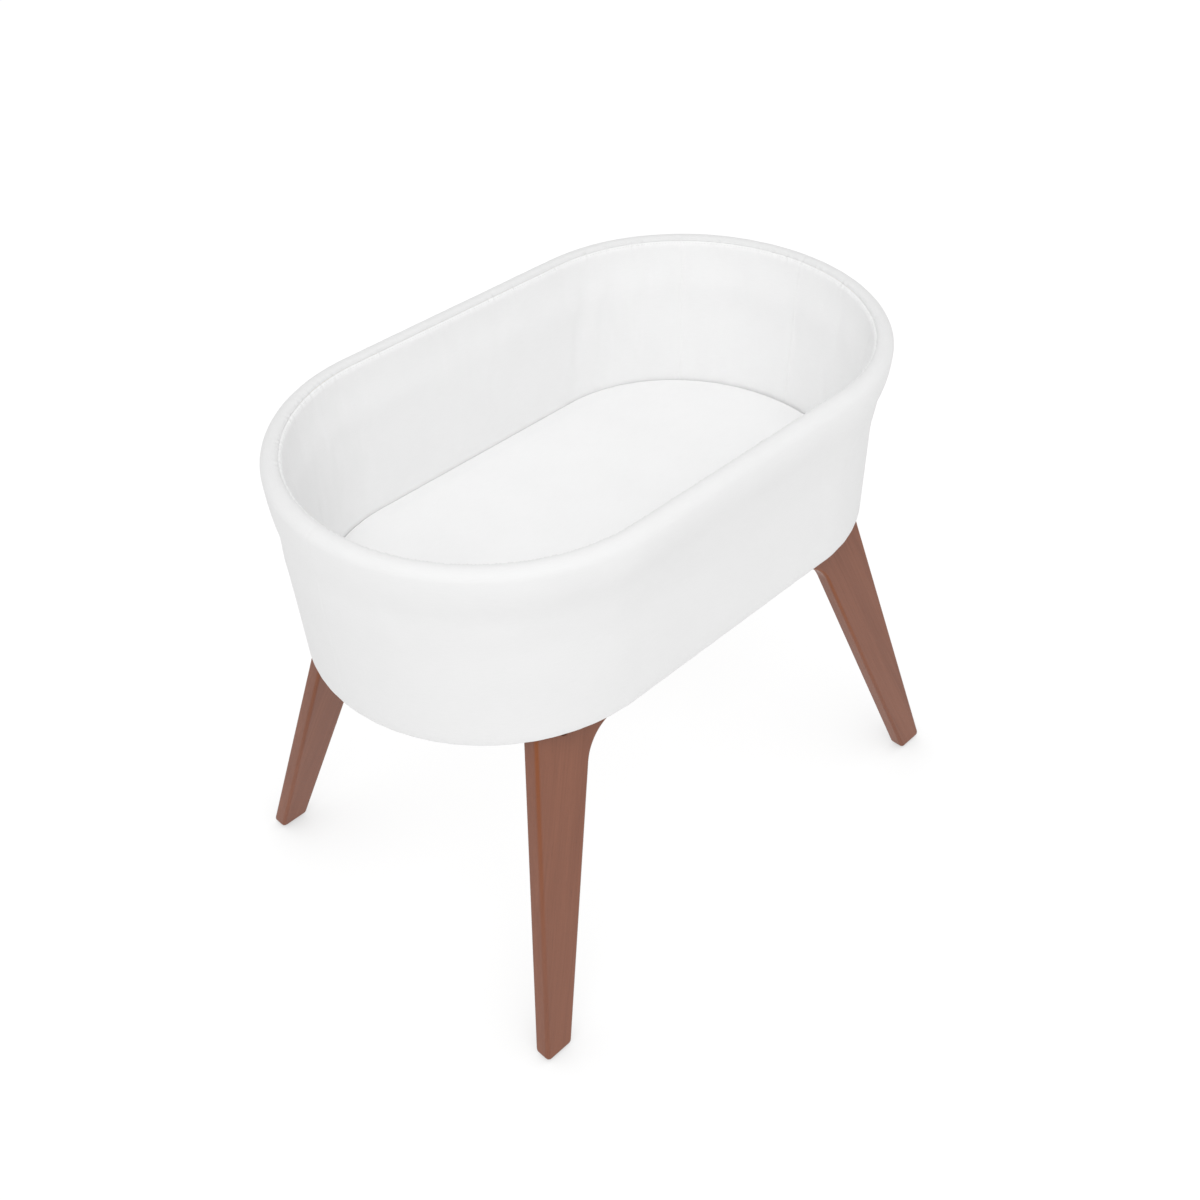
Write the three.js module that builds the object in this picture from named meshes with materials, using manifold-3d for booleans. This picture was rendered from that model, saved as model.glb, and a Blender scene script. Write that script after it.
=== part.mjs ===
// Bassinet on stand: an upholstered racetrack basket with a padded rim and a mattress,
// resting on a stand of four splayed board legs joined by rails.
// Millimetres, +Z up. The origin is on the floor under the middle of the basket, +X runs along
// the basket's length, and the front is the long side that faces -Y.
import * as THREE from "three";
import { mergeVertices } from "three/addons/utils/BufferGeometryUtils.js";
import Module from "manifold-3d";

const wasm = await Module();
wasm.setup();

// ---- Driving dimensions ----
const GAP = 0.3; // left between pieces that touch
const CUT = 600; // long enough for a cutting block to reach past anything
const ROUND_SIDES = 12; // facets round the hardware
const COUNTERBORE_SIDES = 24; // facets round the counterbores, which show
const EDGE_FACETS = 4; // facets over the rounded edges of the legs and side rails
const FILLET_FACETS = 10;

// Basket, outside
const RIM_TOP = 705;
const RIM_RADIUS = 12.75; // half of the thickness of the padded rim
const RIM_OUTSIDE = { a: 425, b: 260 }; // half length and half width
const HEM_OUTSIDE = { a: 413, b: 237.5 };
const BASKET_BOTTOM = 441.5;
const STRAIGHT_HALF = 176; // half of the straight stretch of a long side
const FLARE_START = 0.5; // share of the wall's height where the long sides begin to flare out
const WALL_LEVELS = 6;
const END_STEPS = 16; // facets round each end of the basket
const RIM_STEPS = 6; // facets over the rim
const SEAM_STEP = 4; // the cover meets the liner here, just inside the top of the rim

// Basket, layers of the wall from the outside in
const FABRIC = 1.2;
const OUTER_FOAM = 2;
const SHELL = 3;
const BED_INSIDE = { a: 384, b: 227 }; // inside of the liner at the basket's bottom
const HEM_TURN = 24; // how far the outer cover is turned in under the basket
const HEM_EDGE = { in: 2, up: 3 }; // bevel of the cover's lower edge
const SHELL_BELOW_RIM = 14; // top of the shell below the centre of the rim

// Base board, dust cover and mattress
const BOARD = 12;
const DUST_CLOTH = 0.8;
const MATTRESS_TOP = 487;
const MATTRESS_CLEARANCE = 2.5;
const MATTRESS_EDGE = 8; // rounding of the mattress's upper edge
const MATTRESS_EDGE_FACETS = 3;
const MATTRESS_FOOT = 2; // bevel of its lower edge
const TICKING = 1; // thickness of the mattress cover
const TICKING_TURN = 25;

// Stand
const STAND_TOP = 440;
const FOOT_X = 399.5; // outer corner of a foot
const FOOT_Y = 293.5;
const FOOT_WIDTH = 42.5;
const LEG_THICKNESS = 23.5;
const LEG_EDGE = 5; // rounding of the legs' and rails' long edges
const FOOT_CORNER = 6; // rounding of a foot's corners, more than LEG_EDGE
const FOOT_FACETS = 4;
const END_SLOPE = 0.232; // lean of a leg's outer edge along X, per unit of height
const INNER_SLOPE = 0.349; // lean of a leg's inner edge along X
const SIDE_SLOPE = 0.221; // lean of a side frame across Y
const RAIL_BOTTOM = 402;
const FILLET = 58; // sweep between a leg and its side rail
const JOINT_X = 176; // joint between a leg and its side rail

const CROSS_RAIL_X = 240;
const CROSS_RAIL_WIDTH = 60;
const CROSS_RAIL_HEIGHT = 34;
const CROSS_RAIL_EDGE = 4;

// Hardware
const BORE_CLEARANCE = 0.4; // a faceted bore is narrower than its radius between corners
const BOLT_RADIUS = 3;
const BOLT_LENGTH = 50;
const BOLT_HEAD_RADIUS = 6.5;
const BOLT_HEAD = 5;
const BOLT_CHAMFER = 1;
const BOLT_SPREAD = 16; // each bolt's distance from the middle of its cross rail
const BOLT_Z = 425;
const BOLT_RECESS = 2.5;
const COUNTERBORE_REACH = 60; // past the leg's outer face, along the bolt
const HEX_RADIUS = 2.6;
const NUT_RADIUS = 5;
const NUT_HEIGHT = 16;
const NUT_FROM_TIP = 8;
const DOWEL_RADIUS = 4;
const DOWEL_LENGTH = 36;
const DOWEL_HEIGHTS = [413, 428];
const FOOT_PAD = { length: 24, width: 12, height: 2, corner: 4 };
const PIN_Y = 110;
const PIN_RADIUS = 5;
const PIN_SHANK = 4; // radius where the pin is screwed into the board
const PIN_DROP = 17; // how far a locating pin reaches below the stand's top
const PIN_TAPER = { in: 2, up: 3 }; // at the pin's tip
const PIN_COVERED = 2; // wood left over the pin in the board
const SOCKET_RADIUS = 8;
const SOCKET_FLANGE_RADIUS = 10;
const SOCKET_FLANGE = 2;
const SOCKET_DEPTH = 20;
const SCREW = { head: 3.5, shank: 1.7, sink: 1.4, length: 18 };
const SIDE_SCREW_X = 110;

// Heights that follow from them
const RIM_CENTRE = RIM_TOP - RIM_RADIUS;
const BOARD_BOTTOM = BASKET_BOTTOM + FABRIC + GAP;
const BOARD_TOP = BOARD_BOTTOM + BOARD;
const FOOT_BOTTOM = FOOT_PAD.height + GAP;
const SEAM_GAP = 0.05; // half of the gap at the seam, in steps over the rim
const SHELL_DEPTH = FABRIC + GAP + OUTER_FOAM + GAP; // the shell's outer face, in from the cover's

const group = new THREE.Group();

// ---- Materials ----
function matt(color, roughness) {
  return new THREE.MeshStandardMaterial({ color, roughness, metalness: 0 });
}
const walnut = matt(0x95674f, 0.5);
const ply = matt(0xc9a878, 0.7);
const steel = new THREE.MeshStandardMaterial({ color: 0xb4b6b8, roughness: 0.35, metalness: 1 });
const nylon = matt(0x2e2a28, 0.6);
const shellPlastic = matt(0xd8d6d0, 0.6);
const foam = matt(0xe9e2c8, 0.95);
const coverFabric = matt(0xf4f4f4, 0.9);
const linerFabric = matt(0xeeeeee, 0.95);
const mattressFabric = matt(0xf2f2f2, 0.95);
const dustCloth = matt(0x3a3a3a, 0.95);

// ---- Solids ----
function solidOf(geometry) {
  const bare = geometry.clone();
  bare.deleteAttribute("normal");
  bare.deleteAttribute("uv");
  const merged = mergeVertices(bare, 1e-3);
  return new wasm.Manifold(
    new wasm.Mesh({
      numProp: 3,
      vertProperties: merged.attributes.position.array,
      triVerts: new Uint32Array(merged.index.array),
    }),
  );
}

function geometryOf(solid) {
  const mesh = solid.getMesh();
  const geometry = new THREE.BufferGeometry();
  geometry.setAttribute("position", new THREE.BufferAttribute(mesh.vertProperties, 3));
  geometry.setIndex(new THREE.BufferAttribute(mesh.triVerts, 1));
  geometry.computeVertexNormals();
  return geometry;
}

function addMesh(name, geometry, material) {
  const mesh = new THREE.Mesh(geometry, material);
  mesh.name = name;
  group.add(mesh);
  return mesh;
}

function addSolid(name, solid, material) {
  return addMesh(name, geometryOf(solid), material);
}

function block(x0, x1, y0, y1, z0, z1) {
  const box = new THREE.BoxGeometry(x1 - x0, y1 - y0, z1 - z0);
  return solidOf(box.translate((x0 + x1) / 2, (y0 + y1) / 2, (z0 + z1) / 2));
}

// A turned piece: its profile is [radius, distance along the axis] pairs, and its axis is +Y.
function turned(profile, sides = ROUND_SIDES) {
  return new THREE.LatheGeometry(profile.map(([r, y]) => new THREE.Vector2(r, y)), sides);
}

// A round rod along Y, centred on the origin.
function rod(radius, length) {
  return new THREE.CylinderGeometry(radius, radius, length, ROUND_SIDES);
}

// A hole upwards from below, with its top at a height.
function uprightHole(radius, x, y, top) {
  return solidOf(rod(radius, CUT).rotateX(Math.PI / 2).translate(x, y, top - CUT / 2));
}

// A closed outline of rounded corners, centred on the origin.
function roundedRectangle(width, height, corner) {
  const x = width / 2;
  const y = height / 2;
  const shape = new THREE.Shape();
  shape.absarc(x - corner, y - corner, corner, 0, Math.PI / 2);
  shape.absarc(-x + corner, y - corner, corner, Math.PI / 2, Math.PI);
  shape.absarc(-x + corner, -y + corner, corner, Math.PI, 1.5 * Math.PI);
  shape.absarc(x - corner, -y + corner, corner, 1.5 * Math.PI, 2 * Math.PI);
  shape.closePath();
  return shape;
}

// ---- The racetrack outline and how it changes with height ----
// A ring is { a, b, z }: half of its length, half of its width, and its height.
const levelZ = Array.from(
  { length: WALL_LEVELS + 1 },
  (_, i) => BASKET_BOTTOM + ((RIM_CENTRE - BASKET_BOTTOM) * i) / WALL_LEVELS,
);
const rimFoot = levelZ[WALL_LEVELS - 1]; // lower edge of the rim padding

// A face of the wall, from its ring at the basket's bottom to its ring at the rim's centre. The ends
// lean out evenly, and the long sides flare out near the rim. The face is straight between levels,
// so that every layer of the wall keeps its gap.
function wallFace(bottom, rim) {
  const levels = levelZ.map((z, i) => {
    const flare = THREE.MathUtils.smoothstep(i / WALL_LEVELS, FLARE_START, 1);
    return {
      a: THREE.MathUtils.lerp(bottom.a, rim.a, i / WALL_LEVELS),
      b: THREE.MathUtils.lerp(bottom.b, rim.b, flare),
    };
  });
  return (z) => {
    const step = levelZ[1] - levelZ[0];
    const place = THREE.MathUtils.clamp((z - BASKET_BOTTOM) / step, 0, WALL_LEVELS);
    const i = Math.min(Math.floor(place), WALL_LEVELS - 1);
    const a = THREE.MathUtils.lerp(levels[i].a, levels[i + 1].a, place - i);
    const b = THREE.MathUtils.lerp(levels[i].b, levels[i + 1].b, place - i);
    return { a, b, z };
  };
}

function grown({ a, b, z }, by) {
  return { a: a + by, b: b + by, z };
}

const coverFace = wallFace(HEM_OUTSIDE, RIM_OUTSIDE);
const linerFace = wallFace(BED_INSIDE, grown(RIM_OUTSIDE, -2 * RIM_RADIUS));
const outerFace = (depth, z) => grown(coverFace(z), -depth); // depth is in from the cover
const innerFace = (depth, z) => grown(linerFace(z), depth); // depth is out from the liner

function levelsBetween(low, high) {
  return [low, ...levelZ.filter((z) => z > low + 1 && z < high - 1), high];
}

// The points of one ring, anticlockwise seen from above.
function outline({ a, b, z }) {
  const points = [];
  for (const side of [1, -1]) {
    for (let i = 0; i <= END_STEPS; i++) {
      const angle = Math.PI * (i / END_STEPS - 0.5);
      const x = STRAIGHT_HALF + (a - STRAIGHT_HALF) * Math.cos(angle);
      points.push([side * x, side * b * Math.sin(angle), z]);
    }
  }
  return points;
}

// A skin through rings in order. Rings go up on the outside and down on the inside, and both are
// split along the same diagonals. A looped skin joins its last ring to its first. Any other is
// closed by a flat lid on its first and last ring.
function loft(rings, looped) {
  const perRing = 2 * (END_STEPS + 1);
  const points = rings.flatMap(outline);
  const faces = [];
  const spans = looped ? rings.length : rings.length - 1;
  for (let r = 0; r < spans; r++) {
    const here = r * perRing;
    const next = ((r + 1) % rings.length) * perRing;
    const falling = rings[(r + 1) % rings.length].z < rings[r].z;
    for (let k = 0; k < perRing; k++) {
      const k2 = (k + 1) % perRing;
      if (falling) {
        faces.push(here + k, here + k2, next + k, here + k2, next + k2, next + k);
      } else {
        faces.push(here + k, here + k2, next + k2, here + k, next + k2, next + k);
      }
    }
  }
  if (!looped) {
    const first = points.length;
    const top = (rings.length - 1) * perRing;
    points.push([0, 0, rings[0].z], [0, 0, rings[rings.length - 1].z]);
    for (let k = 0; k < perRing; k++) {
      const k2 = (k + 1) % perRing;
      faces.push(first, k2, k, first + 1, top + k, top + k2);
    }
  }
  const geometry = new THREE.BufferGeometry();
  geometry.setAttribute("position", new THREE.Float32BufferAttribute(points.flat(), 3));
  geometry.setIndex(faces);
  geometry.computeVertexNormals();
  return geometry;
}

// Rings over the rim at a depth below the fabric's surface. Step 0 is level with the rim's centre on
// the outside, and step RIM_STEPS is level with it on the inside.
function overTheRim(depth, steps) {
  const radius = RIM_RADIUS - depth;
  return steps.map((step) => {
    const angle = (Math.PI * step) / RIM_STEPS;
    const ring = outerFace(RIM_RADIUS - radius * Math.cos(angle), RIM_CENTRE);
    return { ...ring, z: RIM_CENTRE + radius * Math.sin(angle) };
  });
}

function stepsBetween(low, high) {
  const whole = Array.from({ length: RIM_STEPS }, (_, i) => i);
  return [low, ...whole.filter((step) => step > low && step < high), high];
}

// ---- Basket ----
function screwProfile(grow) {
  return [
    [0, -grow],
    [SCREW.head + grow, -grow],
    [SCREW.shank + grow, SCREW.sink + grow],
    [SCREW.shank + grow, SCREW.length],
    [0, SCREW.length + grow],
  ];
}

// Each wall screw's place: turned about Z so that it points in from the wall to the board's edge.
function placeWallScrew(geometry, x, y, turn) {
  return geometry.rotateZ(turn).translate(x, y, BOARD_BOTTOM + BOARD / 2);
}

const screwRing = outerFace(SHELL_DEPTH + 2 * GAP, BOARD_BOTTOM + BOARD / 2);
const wallScrews = [
  { name: "wall_screw_left_end", x: -screwRing.a, y: 0, turn: -Math.PI / 2 },
  { name: "wall_screw_right_end", x: screwRing.a, y: 0, turn: Math.PI / 2 },
  { name: "wall_screw_front_left", x: -SIDE_SCREW_X, y: -screwRing.b, turn: 0 },
  { name: "wall_screw_front_right", x: SIDE_SCREW_X, y: -screwRing.b, turn: 0 },
  { name: "wall_screw_back_left", x: -SIDE_SCREW_X, y: screwRing.b, turn: Math.PI },
  { name: "wall_screw_back_right", x: SIDE_SCREW_X, y: screwRing.b, turn: Math.PI },
];

const pinPlaces = [
  { name: "front_left", x: -CROSS_RAIL_X, y: -PIN_Y },
  { name: "front_right", x: CROSS_RAIL_X, y: -PIN_Y },
  { name: "back_left", x: -CROSS_RAIL_X, y: PIN_Y },
  { name: "back_right", x: CROSS_RAIL_X, y: PIN_Y },
];

function withoutWallScrews(solid) {
  return wallScrews.reduce(
    (left, s) => left.subtract(solidOf(placeWallScrew(turned(screwProfile(GAP)), s.x, s.y, s.turn))),
    solid,
  );
}

// Plywood floor of the basket, with a hole for each wall screw and each locating pin.
function addBaseBoard() {
  const depth = SHELL_DEPTH + SHELL + GAP;
  const low = outerFace(depth, BOARD_BOTTOM);
  const high = { ...low, z: BOARD_TOP };
  let board = withoutWallScrews(solidOf(loft([low, high], false)));
  for (const pin of pinPlaces) {
    board = board.subtract(uprightHole(PIN_SHANK + GAP, pin.x, pin.y, CUT));
  }
  addSolid("base_board", board, ply);
}

// Thin moulded wall that stands round the base board and carries the upholstery.
function addWallShell() {
  const top = RIM_CENTRE - SHELL_BELOW_RIM;
  const levels = levelsBetween(BOARD_BOTTOM, top);
  const outside = levels.map((z) => outerFace(SHELL_DEPTH, z));
  const inside = levels.map((z) => outerFace(SHELL_DEPTH + SHELL, z)).reverse();
  const shell = withoutWallScrews(solidOf(loft([...outside, ...inside], true)));
  addSolid("wall_shell", shell, shellPlastic);
}

// Foam sheet between the shell and the outer cover.
function addOuterPadding() {
  const levels = levelsBetween(BOARD_BOTTOM, rimFoot - GAP);
  const depth = FABRIC + GAP;
  const outside = levels.map((z) => outerFace(depth, z));
  const inside = levels.map((z) => outerFace(depth + OUTER_FOAM, z)).reverse();
  addMesh("outer_padding", loft([...outside, ...inside], true), foam);
}

// Foam between the shell and the liner: thicker at the ends, where the liner stands further in.
function addInnerPadding() {
  const levels = levelsBetween(BOARD_TOP + GAP, rimFoot - GAP);
  const outside = levels.map((z) => outerFace(SHELL_DEPTH + SHELL + GAP, z));
  const inside = levels.map((z) => innerFace(FABRIC + GAP, z)).reverse();
  addMesh("inner_padding", loft([...outside, ...inside], true), foam);
}

// Foam cap that straddles the shell's top edge and makes the round rim.
function addRimPadding() {
  const depth = FABRIC + GAP;
  const slotTop = RIM_CENTRE - SHELL_BELOW_RIM + GAP;
  const wall = levelsBetween(rimFoot, RIM_CENTRE);
  const slot = levelsBetween(rimFoot, slotTop);
  const rings = [
    ...wall.slice(0, -1).map((z) => outerFace(depth, z)),
    ...overTheRim(depth, stepsBetween(0, RIM_STEPS)),
    ...wall.slice(0, -1).map((z) => innerFace(depth, z)).reverse(),
    ...slot.map((z) => outerFace(SHELL_DEPTH + SHELL + GAP, z)),
    ...slot.map((z) => outerFace(SHELL_DEPTH - GAP, z)).reverse(),
  ];
  addMesh("rim_padding", loft(rings, true), foam);
}

// Fabric from under the board, up the outside and over the rim to the seam just inside its top.
function addOuterCover() {
  const levels = levelsBetween(BASKET_BOTTOM + HEM_EDGE.up, RIM_CENTRE).slice(0, -1);
  const over = stepsBetween(0, SEAM_STEP - SEAM_GAP);
  const rings = [
    outerFace(HEM_TURN, BASKET_BOTTOM),
    outerFace(HEM_EDGE.in, BASKET_BOTTOM),
    ...levels.map((z) => outerFace(0, z)),
    ...overTheRim(0, over),
    ...overTheRim(FABRIC, over).reverse(),
    ...levels.map((z) => outerFace(FABRIC, z)).reverse(),
    outerFace(FABRIC, BASKET_BOTTOM + FABRIC),
    outerFace(HEM_TURN, BASKET_BOTTOM + FABRIC),
  ];
  addMesh("outer_cover", loft(rings, true), coverFabric);
}

// Fabric inside the basket, from the seam at the rim down to the board.
function addInnerLiner() {
  const levels = levelsBetween(BOARD_TOP + GAP, RIM_CENTRE).slice(0, -1);
  const over = stepsBetween(SEAM_STEP + SEAM_GAP, RIM_STEPS);
  const rings = [
    ...levels.map((z) => innerFace(FABRIC, z)),
    ...overTheRim(FABRIC, over).reverse(),
    ...overTheRim(0, over),
    ...levels.map((z) => innerFace(0, z)).reverse(),
  ];
  addMesh("inner_liner", loft(rings, true), linerFabric);
}

// Thin cloth under the basket that hides the turned-in hem, with a hole for each locating pin.
function addDustCover() {
  const top = BASKET_BOTTOM - GAP;
  const ring = outerFace(HEM_TURN / 2, BASKET_BOTTOM);
  let cloth = solidOf(loft([{ ...ring, z: top - DUST_CLOTH }, { ...ring, z: top }], false));
  for (const pin of pinPlaces) {
    cloth = cloth.subtract(uprightHole(SOCKET_FLANGE_RADIUS, pin.x, pin.y, CUT));
  }
  addSolid("dust_cover", cloth, dustCloth);
}

// Steel pins screwed into the board, which drop into sockets in the stand's cross rails.
function addLocatingPins() {
  const collarTop = BOARD_BOTTOM - GAP - STAND_TOP;
  const pinTop = BOARD_TOP - PIN_COVERED - STAND_TOP;
  const profile = [
    [0, -PIN_DROP],
    [PIN_RADIUS - PIN_TAPER.in, -PIN_DROP],
    [PIN_RADIUS, -PIN_DROP + PIN_TAPER.up],
    [PIN_RADIUS, 2 * GAP],
    [SOCKET_RADIUS, 2 * GAP],
    [SOCKET_RADIUS, collarTop],
    [PIN_SHANK, collarTop],
    [PIN_SHANK, pinTop],
    [0, pinTop],
  ];
  for (const { name, x, y } of pinPlaces) {
    const pin = turned(profile).rotateX(Math.PI / 2).translate(x, y, STAND_TOP);
    addMesh("locating_pin_" + name, pin, steel);
  }
}

function addWallScrews() {
  for (const { name, x, y, turn } of wallScrews) {
    addMesh(name, placeWallScrew(turned(screwProfile(0)), x, y, turn), steel);
  }
}

// ---- Mattress ----
// Rings of the mattress's outer face, from the edge of its flat underside to that of its flat top.
function mattressRings(inset, bottom) {
  const a = BED_INSIDE.a - MATTRESS_CLEARANCE - inset;
  const b = BED_INSIDE.b - MATTRESS_CLEARANCE - inset;
  const top = MATTRESS_TOP - inset;
  const radius = MATTRESS_EDGE - inset;
  const foot = { a: a - MATTRESS_FOOT, b: b - MATTRESS_FOOT, z: bottom };
  const rings = [foot, { a, b, z: bottom + MATTRESS_FOOT }];
  for (let i = 0; i <= MATTRESS_EDGE_FACETS; i++) {
    const angle = (Math.PI / 2) * (i / MATTRESS_EDGE_FACETS);
    const inward = radius * (1 - Math.cos(angle));
    rings.push({ a: a - inward, b: b - inward, z: top - radius + radius * Math.sin(angle) });
  }
  return rings;
}

function addMattress() {
  const bottom = BOARD_TOP + GAP;
  const coreInset = TICKING + GAP;
  const outside = mattressRings(0, bottom);
  const inside = mattressRings(TICKING, bottom + TICKING);
  const hem = { a: outside[0].a - TICKING_TURN, b: outside[0].b - TICKING_TURN };
  const turn = [{ ...hem, z: bottom + TICKING }, { ...hem, z: bottom }];
  const skin = [...inside.reverse(), ...turn, ...outside];
  addMesh("mattress_cover", loft(skin, false), mattressFabric);
  addMesh("mattress_core", loft(mattressRings(coreInset, bottom + coreInset), false), foam);
}

// ---- Stand ----
// Points of an arc that rounds a corner off, from the side of one neighbour to that of the other.
function roundedCorner(before, corner, after) {
  const back = before.clone().sub(corner).normalize();
  const ahead = after.clone().sub(corner).normalize();
  const half = Math.acos(back.dot(ahead)) / 2;
  const centre = back.clone().add(ahead).setLength(FOOT_CORNER / Math.sin(half)).add(corner);
  const middle = corner.clone().sub(centre).angle();
  const turn = Math.sign(back.cross(ahead)) * (Math.PI / 2 - half);
  return Array.from({ length: FOOT_FACETS + 1 }, (_, i) => {
    const angle = middle + turn * (1 - (2 * i) / FOOT_FACETS);
    return new THREE.Vector2(FOOT_CORNER, 0).rotateAround(new THREE.Vector2(), angle).add(centre);
  });
}

// Outline of one side frame seen square on: two legs and the rail between them, in X and height.
function sideFrameOutline() {
  const innerFoot = FOOT_X - FOOT_WIDTH;
  const lean = Math.atan(INNER_SLOPE);
  const cornerX = innerFoot - INNER_SLOPE * RAIL_BOTTOM;
  const centreX = cornerX - FILLET * Math.tan((Math.PI / 2 - lean) / 2);
  const centreZ = RAIL_BOTTOM - FILLET;
  const footX = (z) => FOOT_X - END_SLOPE * z;
  const innerX = (z) => innerFoot - INNER_SLOPE * z;
  const top = new THREE.Vector2(footX(STAND_TOP), STAND_TOP);
  const outer = new THREE.Vector2(footX(FOOT_BOTTOM), FOOT_BOTTOM);
  const inner = new THREE.Vector2(innerX(FOOT_BOTTOM), FOOT_BOTTOM);
  const crotch = new THREE.Vector2(innerX(RAIL_BOTTOM), RAIL_BOTTOM);
  const foot = [...roundedCorner(crotch, inner, outer), ...roundedCorner(inner, outer, top)];
  const shape = new THREE.Shape();
  shape.moveTo(-top.x, top.y);
  foot.toReversed().forEach(({ x, y }) => shape.lineTo(-x, y));
  shape.absarc(-centreX, centreZ, FILLET, Math.PI - lean, Math.PI / 2, true);
  shape.absarc(centreX, centreZ, FILLET, Math.PI / 2, lean, true);
  foot.forEach(({ x, y }) => shape.lineTo(x, y));
  shape.lineTo(top.x, top.y);
  shape.closePath();
  return shape;
}

// The front side frame as one rounded board, leaning outwards towards the floor.
function frontFrame() {
  const board = new THREE.ExtrudeGeometry(sideFrameOutline(), {
    depth: LEG_THICKNESS - 2 * LEG_EDGE,
    bevelThickness: LEG_EDGE,
    bevelSize: LEG_EDGE,
    bevelOffset: -LEG_EDGE,
    bevelSegments: EDGE_FACETS,
    curveSegments: FILLET_FACETS,
  });
  board.rotateX(Math.PI / 2).translate(0, LEG_THICKNESS - LEG_EDGE - FOOT_Y, 0);
  const lean = new THREE.Matrix4().makeShear(0, 0, 0, 0, 0, SIDE_SLOPE);
  return solidOf(board.applyMatrix4(lean));
}

function faceY(z) {
  return SIDE_SLOPE * z - FOOT_Y; // outer face of the front side frame at a height
}

// Cap bolt along +Y from its head, with a hexagon socket.
function boltSolid() {
  const body = turned([
    [0, 0],
    [BOLT_HEAD_RADIUS - BOLT_CHAMFER, 0],
    [BOLT_HEAD_RADIUS, BOLT_CHAMFER],
    [BOLT_HEAD_RADIUS, BOLT_HEAD],
    [BOLT_RADIUS, BOLT_HEAD],
    [BOLT_RADIUS, BOLT_HEAD + BOLT_LENGTH - BOLT_CHAMFER],
    [BOLT_RADIUS - BOLT_CHAMFER, BOLT_HEAD + BOLT_LENGTH],
    [0, BOLT_HEAD + BOLT_LENGTH],
  ]);
  const socket = new THREE.CylinderGeometry(HEX_RADIUS, HEX_RADIUS, BOLT_HEAD, 6);
  return solidOf(body).subtract(solidOf(socket));
}

// Room for a bolt: a bore for its shank and a counterbore that runs out of the leg's outer face.
function boltRoom() {
  const headRoom = BOLT_HEAD_RADIUS + BORE_CLEARANCE;
  const shankRoom = BOLT_RADIUS + BORE_CLEARANCE;
  const end = BOLT_HEAD + BOLT_LENGTH + BOLT_CHAMFER;
  const profile = [
    [0, -COUNTERBORE_REACH],
    [headRoom, -COUNTERBORE_REACH],
    [headRoom, BOLT_HEAD + GAP],
    [shankRoom, BOLT_HEAD + GAP],
    [shankRoom, end],
    [0, end],
  ];
  return solidOf(turned(profile, COUNTERBORE_SIDES));
}

const boltStart = faceY(BOLT_Z) + BOLT_RECESS;
const nutY = boltStart + BOLT_HEAD + BOLT_LENGTH - NUT_FROM_TIP;

// Barrel nut, upright, with its cross hole along Y.
function barrelNutSolid() {
  const barrel = solidOf(rod(NUT_RADIUS, NUT_HEIGHT).rotateX(Math.PI / 2));
  return barrel.subtract(solidOf(rod(BOLT_RADIUS + BORE_CLEARANCE, CUT)));
}

const boltPlaces = [
  ["left", "outer", -CROSS_RAIL_X - BOLT_SPREAD],
  ["left", "inner", -CROSS_RAIL_X + BOLT_SPREAD],
  ["right", "inner", CROSS_RAIL_X - BOLT_SPREAD],
  ["right", "outer", CROSS_RAIL_X + BOLT_SPREAD],
].map(([side, place, x]) => ({ side, place, x }));

function withoutBolts(solid) {
  return boltPlaces.reduce(
    (left, { x }) => left.subtract(boltRoom().translate([x, boltStart, BOLT_Z])),
    solid,
  );
}

function dowelGeometry(grow) {
  return rod(DOWEL_RADIUS + grow, DOWEL_LENGTH + 2 * grow).rotateZ(Math.PI / 2);
}

function dowelPlace(side, height) {
  return [side * JOINT_X, faceY(height) + LEG_THICKNESS / 2, height];
}

function withoutDowels(solid) {
  let left = solid;
  for (const side of [-1, 1]) {
    for (const height of DOWEL_HEIGHTS) {
      const hole = dowelGeometry(BORE_CLEARANCE).translate(...dowelPlace(side, height));
      left = left.subtract(solidOf(hole));
    }
  }
  return left;
}

// The three boards, the dowels, the bolts, the nuts and the foot pads of one side of the stand.
// The back side is the front one turned half round, so its left end is the front one's right.
function addSide(side, turn) {
  const end = (x) => (x < 0 === (turn === 0) ? "left" : "right");
  const add = (name, solid, material) => {
    addSolid(name, solid, material).rotation.z = turn;
  };
  const frame = withoutDowels(withoutBolts(frontFrame()));
  const joint = GAP / 2;
  for (const s of [-1, 1]) {
    const near = s * (JOINT_X + joint);
    const cutter = block(Math.min(near, s * CUT), Math.max(near, s * CUT), -CUT, CUT, -CUT, CUT);
    add("leg_" + side + "_" + end(s), frame.intersect(cutter), walnut);
    const pad = solidOf(footPadGeometry());
    const padX = s * (FOOT_X - FOOT_WIDTH / 2);
    add("foot_pad_" + side + "_" + end(s), pad.translate([padX, LEG_THICKNESS / 2 - FOOT_Y, 0]), nylon);
    DOWEL_HEIGHTS.forEach((height, i) => {
      const dowel = solidOf(dowelGeometry(0).translate(...dowelPlace(s, height)));
      add("dowel_" + side + "_" + end(s) + "_" + ["lower", "upper"][i], dowel, ply);
    });
  }
  const middle = block(-JOINT_X + joint, JOINT_X - joint, -CUT, CUT, -CUT, CUT);
  add("side_rail_" + side, frame.intersect(middle), walnut);
  for (const { place, x } of boltPlaces) {
    const tail = side + "_" + end(x) + "_" + place;
    add("bolt_" + tail, boltSolid().translate([x, boltStart, BOLT_Z]), steel);
    add("barrel_nut_" + tail, barrelNutSolid().translate([x, nutY, BOLT_Z]), steel);
  }
}

function footPadGeometry() {
  const { length, width, height, corner } = FOOT_PAD;
  return new THREE.ExtrudeGeometry(roundedRectangle(length, width, corner), {
    depth: height,
    bevelEnabled: false,
    curveSegments: 4,
  });
}

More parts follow.
